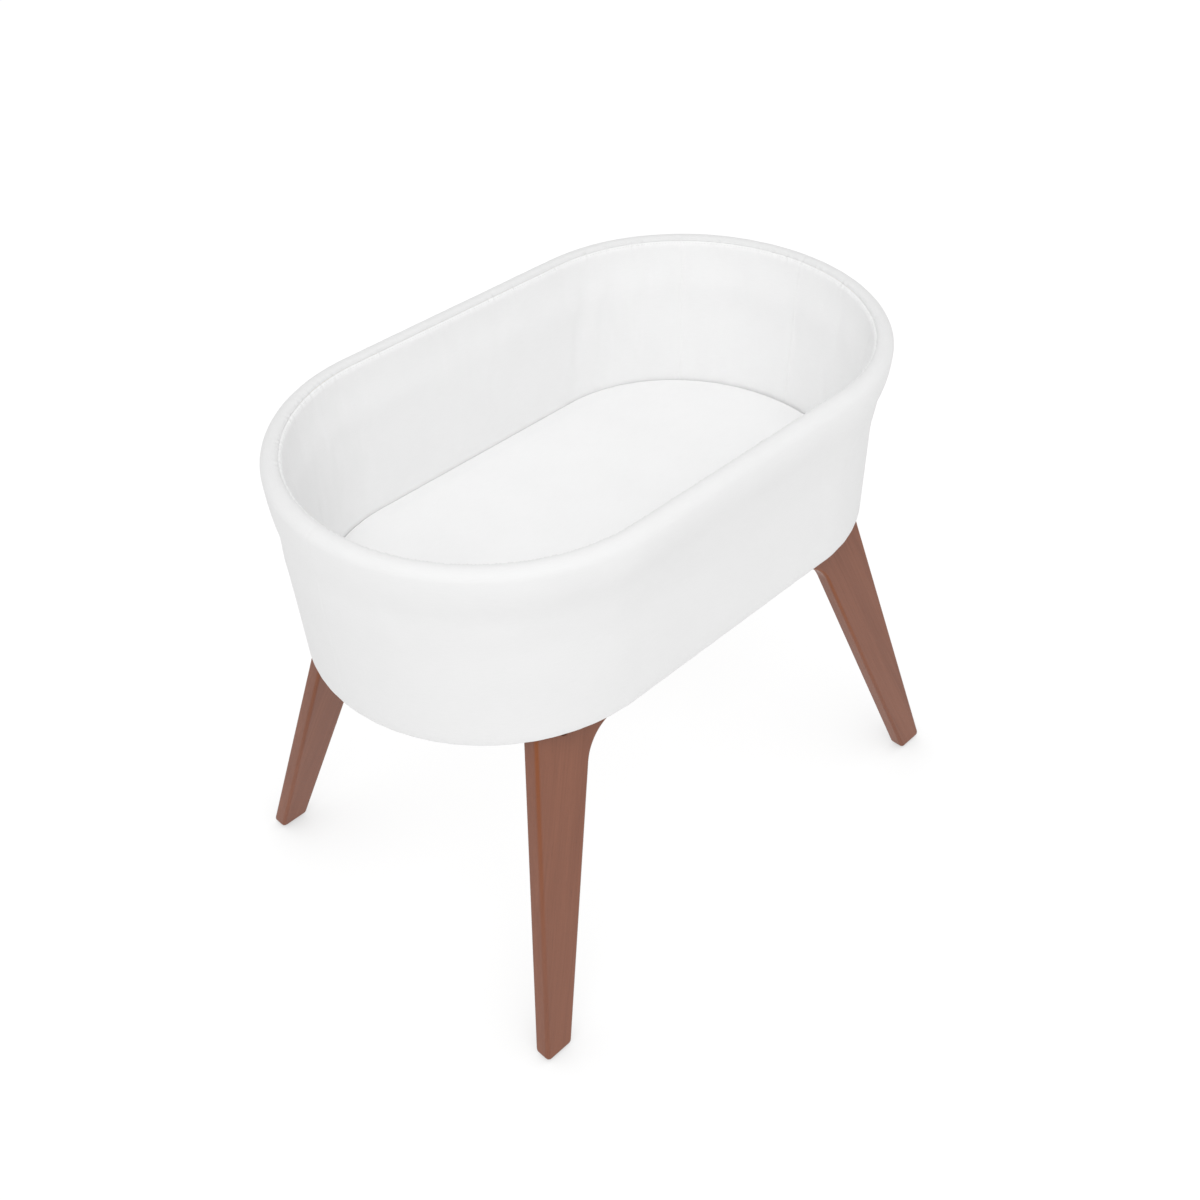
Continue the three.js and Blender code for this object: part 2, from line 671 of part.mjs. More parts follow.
// Bar between the two side frames, its ends cut to their lean.
function crossRailSolid() {
  const middleZ = STAND_TOP - CROSS_RAIL_HEIGHT / 2;
  const section = roundedRectangle(CROSS_RAIL_WIDTH, CROSS_RAIL_HEIGHT, CROSS_RAIL_EDGE);
  const bar = new THREE.ExtrudeGeometry(section, { depth: CUT, bevelEnabled: false, curveSegments: 2 });
  bar.rotateX(Math.PI / 2).translate(0, CUT / 2, middleZ);
  const ends = new THREE.Shape();
  const edge = (z) => -(faceY(z) + LEG_THICKNESS + GAP);
  ends.moveTo(-edge(0), 0);
  ends.lineTo(edge(0), 0);
  ends.lineTo(edge(CUT), CUT);
  ends.lineTo(-edge(CUT), CUT);
  ends.closePath();
  const wedge = new THREE.ExtrudeGeometry(ends, { depth: CUT, bevelEnabled: false });
  wedge.translate(0, 0, -CUT / 2).rotateX(Math.PI / 2).rotateZ(Math.PI / 2);
  return solidOf(bar).intersect(solidOf(wedge));
}

// Room for a flanged socket, sunk in the top of a cross rail.
function socketRoom() {
  return solidOf(
    turned([
      [0, -SOCKET_DEPTH - GAP],
      [SOCKET_RADIUS + GAP, -SOCKET_DEPTH - GAP],
      [SOCKET_RADIUS + GAP, -SOCKET_FLANGE - GAP],
      [SOCKET_FLANGE_RADIUS + 2 * GAP, -SOCKET_FLANGE - GAP],
      [SOCKET_FLANGE_RADIUS + 2 * GAP, SOCKET_DEPTH],
      [0, SOCKET_DEPTH],
    ]).rotateX(Math.PI / 2),
  );
}

function addCrossRails() {
  const nutTop = BOLT_Z + NUT_HEIGHT / 2 + GAP;
  for (const [name, side] of [["left", -1], ["right", 1]]) {
    let rail = crossRailSolid();
    for (const spread of [-BOLT_SPREAD, BOLT_SPREAD]) {
      for (const turn of [0, Math.PI]) {
        const room = geometryOf(boltRoom().translate([spread, boltStart, BOLT_Z])).rotateZ(turn);
        const nutHole = uprightHole(NUT_RADIUS + BORE_CLEARANCE, spread, nutY * Math.cos(turn), nutTop);
        rail = rail.subtract(solidOf(room)).subtract(nutHole);
      }
    }
    for (const y of [-PIN_Y, PIN_Y]) {
      rail = rail.subtract(socketRoom().translate([0, y, STAND_TOP]));
    }
    addSolid("cross_rail_" + name, rail, walnut).position.x = side * CROSS_RAIL_X;
  }
}

// Nylon sockets that the locating pins drop into.
function addPinSockets() {
  const bore = PIN_RADIUS + BORE_CLEARANCE;
  const profile = [
    [bore, -SOCKET_DEPTH],
    [SOCKET_RADIUS, -SOCKET_DEPTH],
    [SOCKET_RADIUS, -SOCKET_FLANGE],
    [SOCKET_FLANGE_RADIUS, -SOCKET_FLANGE],
    [SOCKET_FLANGE_RADIUS, 0],
    [bore, 0],
    [bore, -SOCKET_DEPTH],
  ];
  for (const { name, x, y } of pinPlaces) {
    const socket = turned(profile).rotateX(Math.PI / 2).translate(x, y, STAND_TOP);
    addMesh("pin_socket_" + name, socket, nylon);
  }
}

addSide("front", 0);
addSide("back", Math.PI);
addCrossRails();
addPinSockets();
addBaseBoard();
addWallShell();
addOuterPadding();
addInnerPadding();
addRimPadding();
addOuterCover();
addInnerLiner();
addDustCover();
addLocatingPins();
addWallScrews();
addMattress();

export default group;
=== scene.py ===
"""Bassinet on stand: the looks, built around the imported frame.

Metres, +Z up, the origin on the floor under the middle of the basket, the front towards -Y.
"""
import math

import bmesh
import bpy
import numpy as np
from mathutils import Matrix, Vector
from mathutils.bvhtree import BVHTree


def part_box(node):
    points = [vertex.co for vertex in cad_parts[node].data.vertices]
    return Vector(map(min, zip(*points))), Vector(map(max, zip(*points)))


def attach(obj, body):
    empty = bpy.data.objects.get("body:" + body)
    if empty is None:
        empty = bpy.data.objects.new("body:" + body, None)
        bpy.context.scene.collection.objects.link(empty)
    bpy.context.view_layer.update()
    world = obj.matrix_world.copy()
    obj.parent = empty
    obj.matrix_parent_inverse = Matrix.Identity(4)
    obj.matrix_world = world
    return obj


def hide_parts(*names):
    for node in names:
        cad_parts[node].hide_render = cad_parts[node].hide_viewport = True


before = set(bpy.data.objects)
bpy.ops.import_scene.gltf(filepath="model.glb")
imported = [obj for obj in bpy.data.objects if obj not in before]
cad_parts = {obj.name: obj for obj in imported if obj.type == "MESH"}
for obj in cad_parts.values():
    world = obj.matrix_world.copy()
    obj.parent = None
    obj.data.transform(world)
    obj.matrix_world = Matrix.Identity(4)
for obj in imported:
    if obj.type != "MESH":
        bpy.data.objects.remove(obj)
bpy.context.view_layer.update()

MM = 0.001
SEED = 7
CUT_PAST = 20 * MM  # how far a cutting rod reaches past what it cuts
MERGE = 1e-6  # points closer than this are one

# ---- Camera ----
CAMERA_PLACE = (-1.0502, -1.0789, 1.6160)
CAMERA_YAW = 0.773  # radians from +Y towards +X
CAMERA_PITCH = -0.699
CAMERA_ROLL = -0.030
CAMERA_LENS = 43.4  # on a sensor 36 mm wide


def add_camera():
    camera = bpy.data.objects.new("camera", bpy.data.cameras.new("camera"))
    camera.data.lens = CAMERA_LENS
    matrix = Matrix.Translation(CAMERA_PLACE)
    level = math.pi / 2  # a camera looks down -Z until it is tipped up
    for angle, axis in ((-CAMERA_YAW, "Z"), (level + CAMERA_PITCH, "X"), (CAMERA_ROLL, "Z")):
        matrix = matrix @ Matrix.Rotation(angle, 4, axis)
    camera.matrix_world = matrix
    bpy.context.scene.collection.objects.link(camera)
    bpy.context.scene.camera = camera


add_camera()

# ---- Sizes of the basket, from the frame ----
cover_low, cover_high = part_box("outer_cover")
board_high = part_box("base_board")[1]
bed_low, bed_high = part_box("mattress_cover")

FABRIC = 1.2 * MM
GAP = 0.3 * MM
OUTER_FOAM = 2 * MM
SHELL = 3 * MM
SHELL_DEPTH = FABRIC + GAP + OUTER_FOAM + GAP
SHELL_BELOW_RIM = 14 * MM  # from the rim's centre down to the shell's top edge
SHELL_BELOW_BOARD = 12 * MM  # from the board's top down to the shell's foot
RIM_RADIUS = 12.75 * MM
STRAIGHT_HALF = 176 * MM  # half of the straight stretch of a long side
FLARE_START = 0.5  # share of the wall's height where the long sides begin to flare out
NECK_BELOW = 58 * MM  # the wall is drawn in a little at this distance below the rim's centre
NECK_DEPTH = 2.4 * MM
NECK_WIDTH = 20 * MM
BOTTOM = cover_low.z
RIM_CENTRE = cover_high.z - RIM_RADIUS
BOARD_TOP = board_high.z
RIM_OUTSIDE = np.array([cover_high.x, cover_high.y])
HEM_OUTSIDE = np.array([board_high.x, board_high.y]) + SHELL_DEPTH + SHELL + GAP
RIM_INSIDE = RIM_OUTSIDE - 2 * RIM_RADIUS
MATTRESS_CLEARANCE = 2.5 * MM
MATTRESS_RISE = 3 * MM  # most that the mattress's top may crown
BED_INSIDE = np.array([bed_high.x, bed_high.y]) + MATTRESS_CLEARANCE
BOTTOM_EDGE = 3 * MM  # rounding between the wall and the underside
HEM_TURN = 24 * MM
RIM_FOAM_FOOT = BOTTOM + (RIM_CENTRE - BOTTOM) * 5 / 6

# Rows of points in each stretch of the skin, and rings of a layer of foam
HEM_ROWS, EDGE_ROWS, WALL_ROWS, RIM_ROWS, LINER_ROWS = 4, 3, 25, 8, 23
LAYER_RINGS = 24

# Seams
SEAM_ANGLE = math.radians(138)  # over the rim from the outside: the cover meets the liner here
SEAM_ROWS = [0.15, 0.6, 1.2, 2, 3, 4.3, 6, 8]  # mm from that seam, where rows of points are close
SEAM_DEPTH = 0.55 * MM
SEAM_WIDTH = 2.2 * MM
SIDE_SEAM_POINTS = [0, 0.7, 1.4, 2.3, 3.5, 5.5]  # mm from an upright seam
COVER_SEAMS = [0]  # degrees round each end from its middle
LINER_SEAMS = [-43, 0, 43]
COVER_SEAM_DEPTH = 0.25 * MM
LINER_SEAM_RIDGE = 0.4 * MM  # its allowances lie under it, so it stands proud
SIDE_SEAM_WIDTH = 1.5 * MM


# ---- Points on the upholstered wall ----
def smoothstep(x):
    x = np.clip(x, 0, 1)
    return x * x * (3 - 2 * x)


def wall_half_sizes(bottom, rim, z):
    """Half length and half width of a face of the wall at a height. The ends lean out evenly, the
    long sides flare out near the rim, and there is a slight neck below the rim."""
    share = (z - BOTTOM) / (RIM_CENTRE - BOTTOM)
    flare = smoothstep((share - FLARE_START) / (1 - FLARE_START))
    a = bottom[0] + (rim[0] - bottom[0]) * share
    b = bottom[1] + (rim[1] - bottom[1]) * flare
    neck = NECK_DEPTH * math.exp(-(((RIM_CENTRE - z - NECK_BELOW) / NECK_WIDTH) ** 2))
    return a - neck, b - neck


def outside(z):
    return wall_half_sizes(HEM_OUTSIDE, RIM_OUTSIDE, z)


# A row is a function of the depth below the fabric's surface. It gives the half length, the half
# width and the height of its ring.
def hem_row(inset):
    a, b = outside(BOTTOM)
    return lambda depth: (a - inset, b - inset, BOTTOM + depth)


def edge_row(angle):
    a, b = outside(BOTTOM)

    def ring(depth):
        radius = BOTTOM_EDGE - depth
        inset = BOTTOM_EDGE - radius * math.sin(angle)
        return a - inset, b - inset, BOTTOM + BOTTOM_EDGE - radius * math.cos(angle)

    return ring


def outer_row(z):
    a, b = outside(z)
    return lambda depth: (a - depth, b - depth, z)


def rim_row(angle):
    def ring(depth):
        radius = RIM_RADIUS - depth
        inset = RIM_RADIUS - radius * math.cos(angle)
        return RIM_OUTSIDE[0] - inset, RIM_OUTSIDE[1] - inset, RIM_CENTRE + radius * math.sin(angle)

    return ring


def inner_row(z):
    a, b = wall_half_sizes(BED_INSIDE, RIM_INSIDE, z)
    return lambda depth: (a + depth, b + depth, z)


def steps_from(start, end, count):
    """Even steps from start that stop short of end."""
    return np.linspace(start, end, count + 1)[:-1]


def skin_rows():
    """The rows of the whole skin, from the hem under the basket over the rim to the liner's foot, and
    the number of the first one past the seam."""
    near = [d * MM / RIM_RADIUS for d in SEAM_ROWS]
    rows = [hem_row(inset) for inset in steps_from(HEM_TURN, BOTTOM_EDGE, HEM_ROWS)]
    rows += [edge_row(angle) for angle in steps_from(0, math.pi / 2, EDGE_ROWS)]
    rows += [outer_row(z) for z in steps_from(BOTTOM + BOTTOM_EDGE, RIM_CENTRE, WALL_ROWS)]
    rows += [rim_row(angle) for angle in steps_from(0, SEAM_ANGLE - near[-1], RIM_ROWS)]
    rows += [rim_row(SEAM_ANGLE - d) for d in reversed(near)]
    past_seam = len(rows)
    rows += [rim_row(SEAM_ANGLE + d) for d in near]
    rows.append(rim_row(math.pi))
    rows += [inner_row(z) for z in np.linspace(RIM_CENTRE, BOARD_TOP + GAP, LINER_ROWS + 1)[1:]]
    return rows, past_seam


def end_angles(count):
    """Angles round one end, with points close together at the upright seams. An even point that lies
    too near to one of those is left out."""
    step = math.pi / count
    seams = [math.radians(s) for s in LINER_SEAMS]
    near = [d * MM / RIM_OUTSIDE[1] for d in SIDE_SEAM_POINTS]
    close = sorted({round(s + side * d, 7) for s in seams for d in near for side in (-1, 1)})
    even = [-math.pi / 2 + i * step for i in range(count + 1)]
    room = 0.6 * step
    apart = [a for a in even if all(abs(a - c) > room for c in close)]
    return sorted(apart + close)


def stations(per_end, per_side):
    """Points round the basket, anticlockwise from the front of the right end. Each has a fixed x, the
    shares that the half sizes add to it, its end (+1 right, -1 left, 0 on a side) and its angle."""
    found = []
    across = np.linspace(1, -1, per_side + 1)[1:-1]
    for end in (1, -1):
        for angle in end_angles(per_end):
            found.append((end * STRAIGHT_HALF, end * math.cos(angle), end * math.sin(angle), end, angle))
        for share in across:
            found.append((end * share * STRAIGHT_HALF, 0, end, 0, 0))
    return np.array(found)


def rings(rows, round_it, depth=0.0):
    """Points of the rows at a depth, as an array of row, station and coordinate."""
    fixed, cos, sin = round_it[:, 0], round_it[:, 1], round_it[:, 2]
    grid = np.empty((len(rows), len(round_it), 3))
    for i, row in enumerate(rows):
        a, b, z = row(depth)
        grid[i, :, 0] = fixed + (a - STRAIGHT_HALF) * cos
        grid[i, :, 1] = b * sin
        grid[i, :, 2] = z
    return grid


def unit(vectors):
    return vectors / np.linalg.norm(vectors, axis=-1, keepdims=True)


def normals_of(grid):
    """Unit normals of a grid of rows, pointing out of the padding."""
    along = np.roll(grid, -1, axis=1) - np.roll(grid, 1, axis=1)
    up = np.gradient(grid, axis=0)
    return unit(np.cross(along, up))


def lengths_round(points):
    """Distance round a closed ring of points, and its whole length."""
    steps = np.linalg.norm(np.roll(points, -1, axis=0) - points, axis=1)
    return np.concatenate([[0], np.cumsum(steps)[:-1]]), steps.sum()


def lengths_up(grid):
    """Distance up the wall to each row."""
    steps = np.linalg.norm(np.diff(grid[:, 0], axis=0), axis=1)
    return np.concatenate([[0], np.cumsum(steps)])


# ---- Meshes ----
def add_object(name, mesh, body=None, nodes=(), material=None):
    piece = bpy.data.objects.new(name, mesh)
    bpy.context.scene.collection.objects.link(piece)
    if material:
        mesh.materials.clear()
        mesh.materials.append(material)
    if body:
        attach(piece, body)
    if nodes:
        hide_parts(*nodes)
    return piece


def smooth(mesh, angle=40):
    mesh.shade_smooth()
    mesh.set_sharp_from_angle(angle=math.radians(angle))
    mesh.update()
    return mesh


def points_of(mesh):
    points = np.empty(len(mesh.vertices) * 3)
    mesh.vertices.foreach_get("co", points)
    return points.reshape(-1, 3)


def add_weave_uv(mesh, uv):
    """Stores a UV map in metres, with a pair for each corner of each face."""
    layer = mesh.uv_layers.new(name="weave")
    layer.data.foreach_set("uv", uv.reshape(-1).astype(np.float32))


def grid_mesh(name, grid, looped=True, capped=""):
    """A mesh through a grid of rings. A looped one joins its last ring to its first. A capped one has
    a flat lid on both end rings, or on the last."""
    count, round_count = grid.shape[:2]
    r = np.arange(count if looped else count - 1)[:, None]
    k = np.arange(round_count)[None, :]
    r2, k2 = (r + 1) % count, (k + 1) % round_count
    quad = (r * round_count + k, r * round_count + k2, r2 * round_count + k2, r2 * round_count + k)
    faces = np.stack(quad, axis=-1).reshape(-1, 4).tolist()
    if capped:
        faces.append(list(range((count - 1) * round_count, count * round_count)))
    if capped == "both":
        faces.append(list(range(round_count))[::-1])
    mesh = bpy.data.meshes.new(name)
    mesh.from_pydata(grid.reshape(-1, 3).tolist(), [], faces)
    return smooth(mesh)


def turned_grid(profile, sides):
    """Rings about +Z through pairs of radius and height. A radius may be a list of them."""
    angles = np.arange(sides) * 2 * math.pi / sides
    grid = np.empty((len(profile), sides, 3))
    for i, (radius, height) in enumerate(profile):
        grid[i, :, 0] = radius * np.cos(angles)
        grid[i, :, 1] = radius * np.sin(angles)
        grid[i, :, 2] = height
    return grid


def turned_mesh(name, profile, sides=48):
    """A turned piece about +Z, from [radius, height] pairs that start and end on the axis, or that
    close on themselves."""
    closed = profile[0] == profile[-1]
    grid = turned_grid(profile[:-1] if closed else profile[1:-1], sides)
    return grid_mesh(name, grid, looped=closed, capped="" if closed else "both")


def rod(radius, low, high, sides=48):
    """A plain rod about +Z, to cut with."""
    return turned_mesh("rod", [[0, low], [radius, low], [radius, high], [0, high]], sides)


def applied(piece):
    """The piece's mesh with its modifiers applied. The piece itself is removed."""
    graph = bpy.context.evaluated_depsgraph_get()
    mesh = bpy.data.meshes.new_from_object(piece.evaluated_get(graph))
    mesh.name = piece.name
    bpy.data.objects.remove(piece)
    return mesh


def cut(mesh, cutters):
    """The mesh with the shapes of the cutting meshes taken out."""
    piece = add_object("cutting", mesh)
    tools = [add_object("cutter", tool) for tool in cutters]
    for tool in tools:
        modifier = piece.modifiers.new("cut", "BOOLEAN")
        modifier.operation = "DIFFERENCE"
        modifier.solver = "EXACT"
        modifier.object = tool
    bpy.context.view_layer.update()
    made = applied(piece)
    for tool in tools:
        bpy.data.objects.remove(tool)
    return made


# ---- Material nodes ----
# A Mix node's colour sockets, which share their names with others
MIX_FACTOR, MIX_A, MIX_B, MIX_RESULT = 0, 6, 7, 2


def darker(color, share):
    return tuple(share * c for c in color)


class Shader:
    """A material's node tree. A value given to a node is a number, a colour or another node's output."""

    def __init__(self, name, color, roughness, principled=None):
        self.material = bpy.data.materials.new(name)
        self.material.use_nodes = True
        self.tree = self.material.node_tree
        self.surface = self.tree.nodes["Principled BSDF"]
        self.material.diffuse_color = (*color, 1)
        self.set(self.surface, {"Base Color": (*color, 1), "Roughness": roughness})
        self.set(self.surface, principled or {})
        self.place = self.add("TexCoord").outputs["Object"]

    def set(self, node, values):
        for name, value in values.items():
            socket = node.inputs[name]
            if isinstance(value, bpy.types.NodeSocket):
                self.tree.links.new(value, socket)
            else:
                socket.default_value = value

    def add(self, kind, values=None, **settings):
        node = self.tree.nodes.new("ShaderNode" + kind)
        for name, value in settings.items():
            setattr(node, name, value)
        self.set(node, values or {})
        return node

    def math(self, operation, a, b=0.0):
        return self.add("Math", {0: a, 1: b}, operation=operation).outputs[0]

    def wave(self, distance, length):
        return self.math("SINE", self.math("MULTIPLY", distance, 2 * math.pi / length))

    def part(self, vector, axis):
        return self.add("SeparateXYZ", {0: vector}).outputs[axis]

    def scaled(self, vector, scale):
        return self.add("VectorMath", {0: vector, 1: scale}, operation="MULTIPLY").outputs[0]

    def noise(self, vector, scale, detail, roughness=0.5):
        """Noise with one scale per metre, or with one for each axis."""
        if isinstance(scale, tuple):
            vector, scale = self.scaled(vector, scale), 1
        values = {"Vector": vector, "Scale": scale, "Detail": detail, "Roughness": roughness}
        return self.add("TexNoise", values).outputs["Fac"]

    def ramp(self, fac, stops):
        """Colours between two stops, which are pairs of factor and colour."""
        node = self.add("ValToRGB", {"Fac": fac})
        elements = node.color_ramp.elements
        for element, (place, color) in zip(elements, stops):
            element.position = place
            element.color = (*color, 1)
        return node.outputs["Color"]

    def between(self, fac, low, high):
        """A number that goes from low to high as the factor goes from 0 to 1."""
        values = {"Value": fac, "To Min": low, "To Max": high}
        return self.add("MapRange", values).outputs["Result"]

    def mixed(self, fac, a, b):
        """Colour a where the factor is 0, and b where it is 1."""
        a, b = ((*c, 1) if isinstance(c, tuple) else c for c in (a, b))
        node = self.add("Mix", {MIX_FACTOR: fac, MIX_A: a, MIX_B: b}, data_type="RGBA")
        return node.outputs[MIX_RESULT]

    def bump(self, layers):
        """Bumps on each other, from (height, distance in metres, strength) with the coarsest first."""
        normal = None
        for height, distance, strength in layers:
            node = self.add("Bump", {"Height": height, "Distance": distance, "Strength": strength})
            if normal is not None:
                self.tree.links.new(normal, node.inputs["Normal"])
            normal = node.outputs["Normal"]
        self.tree.links.new(normal, self.surface.inputs["Normal"])


def fabric(name, color, pitch, weave, nap, sheen):
    """Woven or knitted cloth: a weave of that pitch, a fine nap, and slight unevenness of tone. The
    weave and the nap are given as the depths of their bumps."""
    gloss = {"Sheen Weight": sheen, "Sheen Roughness": 0.5, "Specular IOR Level": 0.25}
    s = Shader(name, color, 0.9, gloss)
    uv = s.add("UVMap", uv_map="weave").outputs["UV"]
    threads = s.math("MULTIPLY", s.wave(s.part(uv, 0), pitch), s.wave(s.part(uv, 1), pitch))
    fuzz = s.noise(s.place, 1900, 3)
    clouds = s.noise(s.place, 9, 3)
    soft = s.noise(s.place, 26, 2)
    slub = s.noise(uv, (60, 900, 1), 2)
    tone = s.math("ADD", s.between(clouds, 0.965, 1.015), s.between(slub, -0.02, 0.02))
    # painted shade and highlight on the weave: a little lighter on the raised threads, darker between
    # them
    tone = s.math("ADD", tone, s.between(threads, -0.012, 0.012))
    tone = s.math("ADD", tone, s.between(fuzz, -0.02, 0.02))
    base = s.add("VectorMath", {0: color, "Scale": tone}, operation="SCALE").outputs[0]
    s.set(s.surface, {"Base Color": base, "Roughness": s.between(fuzz, 0.82, 0.96)})
    s.bump([(soft, 0.6 * MM, 0.5), (threads, weave, 0.6), (fuzz, nap, 0.5)])
    return s.material


def foam_material(name, color):
    s = Shader(name, color, 0.95)
    cells = s.add("TexVoronoi", {"Vector": s.place, "Scale": 700}).outputs["Distance"]
    clouds = s.noise(s.place, 12, 3)
    yellowed = (color[0], 0.95 * color[1], 0.82 * color[2])
    # painted shade: each cell is darker towards its hollow middle
    base = s.mixed(s.between(cells, 0.75, 0.0), color, darker(color, 0.82))
    base = s.mixed(s.between(clouds, 0.0, 0.3), base, yellowed)
    s.set(s.surface, {"Base Color": base, "Roughness": s.between(cells, 0.98, 0.85)})
    s.bump([(clouds, 0.5 * MM, 0.3), (cells, 0.4 * MM, 0.7)])
    return s.material


# How strong the painted highlight along the boards' rounded edges is, at the floor and higher up
RIDGE_HIGHLIGHT_RANGE = (-0.4, 0.85)  # at the floor, and from RIDGE_HIGHLIGHT_HEIGHT up. Below 0 there is none
RIDGE_HIGHLIGHT_HEIGHT = 1 / 2.4


def wood_material(name, light, dark, edge, pores):
    """Straight-grained wood under a satin stain. The attribute grain runs along each board in x. The
    attribute edge is 1 on its rounded edges, which get a warmer colour there as a painted highlight
    along each ridge, the more so the higher up."""
    gloss = {"Coat Weight": 0.06, "Coat Roughness": 0.3, "Specular IOR Level": 0.35}
    s = Shader(name, light, 0.45, gloss)
    grain = s.add("Attribute", attribute_name="grain").outputs["Vector"]
    ridge_highlight = s.add("Attribute", attribute_name="edge").outputs["Fac"]
    slow = s.add("TexNoise", {"Vector": s.scaled(grain, (2.2, 7, 7)), "Scale": 1, "Detail": 2})
    sideways = {0: slow.outputs["Color"], 1: (0, 0.02, 0.02), 2: grain}
    bent = s.add("VectorMath", sideways, operation="MULTIPLY_ADD").outputs[0]
    year_rings = s.noise(bent, (1.5, 70, 34), 3)
    streaks = s.noise(bent, (5, 420, 420), 4, 0.65)
    pore = s.noise(bent, (45, 2400, 2400), 2)
    patches = s.noise(grain, (4, 9, 9), 2)
    figure = s.math("ADD", s.between(year_rings, 0.0, 0.6), s.between(streaks, 0.0, 0.4))
    body = s.ramp(figure, [(0.30, dark), (0.62, light)])
    body = s.mixed(s.between(patches, 0.0, 0.22), body, darker(light, 0.8))
    height = s.part(s.place, 2)
    higher_up = s.between(s.math("MULTIPLY", height, 1 / RIDGE_HIGHLIGHT_HEIGHT), *RIDGE_HIGHLIGHT_RANGE)
    # painted highlight: a warmer colour along the rounded edges, fading towards the floor
    painted_ridge_highlight = s.math("MULTIPLY", s.math("MULTIPLY", ridge_highlight, higher_up), s.between(streaks, 0.75, 1.0))
    body = s.mixed(painted_ridge_highlight, body, edge)
    pits = s.math("GREATER_THAN", pore, 0.66)
    body = s.mixed(s.math("MULTIPLY", pits, pores), body, darker(dark, 0.45))
    s.set(s.surface, {"Base Color": body, "Roughness": s.between(streaks, 0.5, 0.38)})
    s.bump([(streaks, 0.08 * MM, 0.3), (s.math("SUBTRACT", 1.0, pits), 0.05 * MM, 0.25)])
    return s.material


def metal_material():
    s = Shader("zinc_plated_steel", (0.62, 0.63, 0.64), 0.32, {"Metallic": 1.0})
    lines = s.noise(s.place, (300, 300, 2600), 2)
    spots = s.noise(s.place, 160, 3)
    s.set(s.surface, {
        "Base Color": s.ramp(spots, [(0.3, (0.50, 0.51, 0.53)), (0.7, (0.68, 0.69, 0.69))]),
        "Roughness": s.between(lines, 0.24, 0.42),
    })
    s.bump([(lines, 0.02 * MM, 0.4)])
    return s.material


def plastic_material(name, color, roughness):
    """Moulded plastic with a fine spark texture."""
    s = Shader(name, color, roughness)
    spark = s.noise(s.place, 1400, 2)
    clouds = s.noise(s.place, 18, 2)
    s.set(s.surface, {
        "Base Color": s.mixed(s.between(clouds, 0.0, 0.6), color, darker(color, 0.88)),
        "Roughness": s.between(spark, roughness - 0.08, roughness + 0.1),
    })
    s.bump([(spark, 0.05 * MM, 0.5)])
    return s.material


VENEER = 2.6 * MM  # two plies


def ply_material():
    """Birch plywood: pale, with its veneers showing as lines at the cut edges."""
    s = Shader("birch_plywood", (0.58, 0.41, 0.24), 0.7)
    veneers = s.wave(s.part(s.place, 2), VENEER)
    upright = s.part(s.add("NewGeometry").outputs["True Normal"], 2)
    side = s.math("LESS_THAN", s.math("ABSOLUTE", upright), 0.5)
    figure = s.noise(s.place, (3, 60, 60), 4, 0.6)
    body = s.ramp(figure, [(0.3, (0.50, 0.34, 0.19)), (0.7, (0.66, 0.48, 0.30))])
    lined = s.math("MULTIPLY", side, s.between(veneers, 0.0, 0.45))
    s.set(s.surface, {
        "Base Color": s.mixed(lined, body, (0.30, 0.18, 0.09)),
        "Roughness": s.between(figure, 0.62, 0.75),
    })
    s.bump([(figure, 0.08 * MM, 0.4)])
    return s.material


SHADE_REACH = 0.32  # metres from what stands on the floor
FLOOR_GLOW = 0.92
SHADED_GLOW = 0.5


def floor_material():
    """A glowing white floor, with soft shade only close to what stands on it."""
    glow = {"Specular IOR Level": 0.1, "Emission Color": (1, 1, 1, 1)}
    s = Shader("pale_floor", (0.14, 0.14, 0.14), 0.9, glow)
    unshaded = s.add("AmbientOcclusion", {"Distance": SHADE_REACH}, samples=12).outputs["AO"]
    s.set(s.surface, {"Emission Strength": s.between(unshaded, SHADED_GLOW, FLOOR_GLOW)})
    return s.material


WHITE = (0.92, 0.92, 0.92)
# A darker white for the cover: painted shade that stands for the weaker light on the outer walls. The
# sewing thread takes the same colour.
DIMMED_WHITE = (0.82, 0.82, 0.82)
CHARCOAL = (0.035, 0.035, 0.037)
# painted shade: the cover gets the darker white, for the weaker light on the outside
COVER_CLOTH = fabric("cover_jersey", DIMMED_WHITE, 1.5 * MM, 0.10 * MM, 0.10 * MM, sheen=0.08)
LINER_CLOTH = fabric("liner_jersey", WHITE, 1.3 * MM, 0.10 * MM, 0.12 * MM, sheen=0.08)
SHEET_CLOTH = fabric("mattress_ticking", WHITE, 1.1 * MM, 0.08 * MM, 0.08 * MM, sheen=0.05)
THREAD = fabric("sewing_thread", DIMMED_WHITE, 0.8 * MM, 0.05 * MM, 0.05 * MM, sheen=0.1)
DUST_CLOTH = fabric("dust_cloth", CHARCOAL, 2.4 * MM, 0.12 * MM, 0.2 * MM, sheen=0.05)
FOAM = foam_material("cream_foam", (0.80, 0.75, 0.58))
WALNUT = wood_material("stained_walnut", light=(0.243, 0.088, 0.047), dark=(0.178, 0.060, 0.031),
                       edge=(0.225, 0.054, 0.003), pores=0.3)
PLY = ply_material()
BEECH = wood_material("beech_dowel", light=(0.60, 0.42, 0.26), dark=(0.48, 0.31, 0.18),
                      edge=(0.62, 0.44, 0.28), pores=0.2)
STEEL = metal_material()
NYLON = plastic_material("dark_nylon", (0.028, 0.023, 0.021), 0.5)
SHELL_PLASTIC = plastic_material("shell_plastic", (0.68, 0.66, 0.62), 0.5)


# ---- Studio ----
FLOOR_HALF = 60.0
WORLD_GLOW = 0.74
# Each light's name, place, target, size in metres, power in watts and spread in degrees
LIGHTS = [
    ("key", (-1.2, -1.3, 2.9), (0, 0, RIM_CENTRE), 2.0, 33, 180),
    ("inner", (-0.65, -0.45, 1.75), (0.3, 0.12, 0.6), 0.5, 0.07, 44),
]


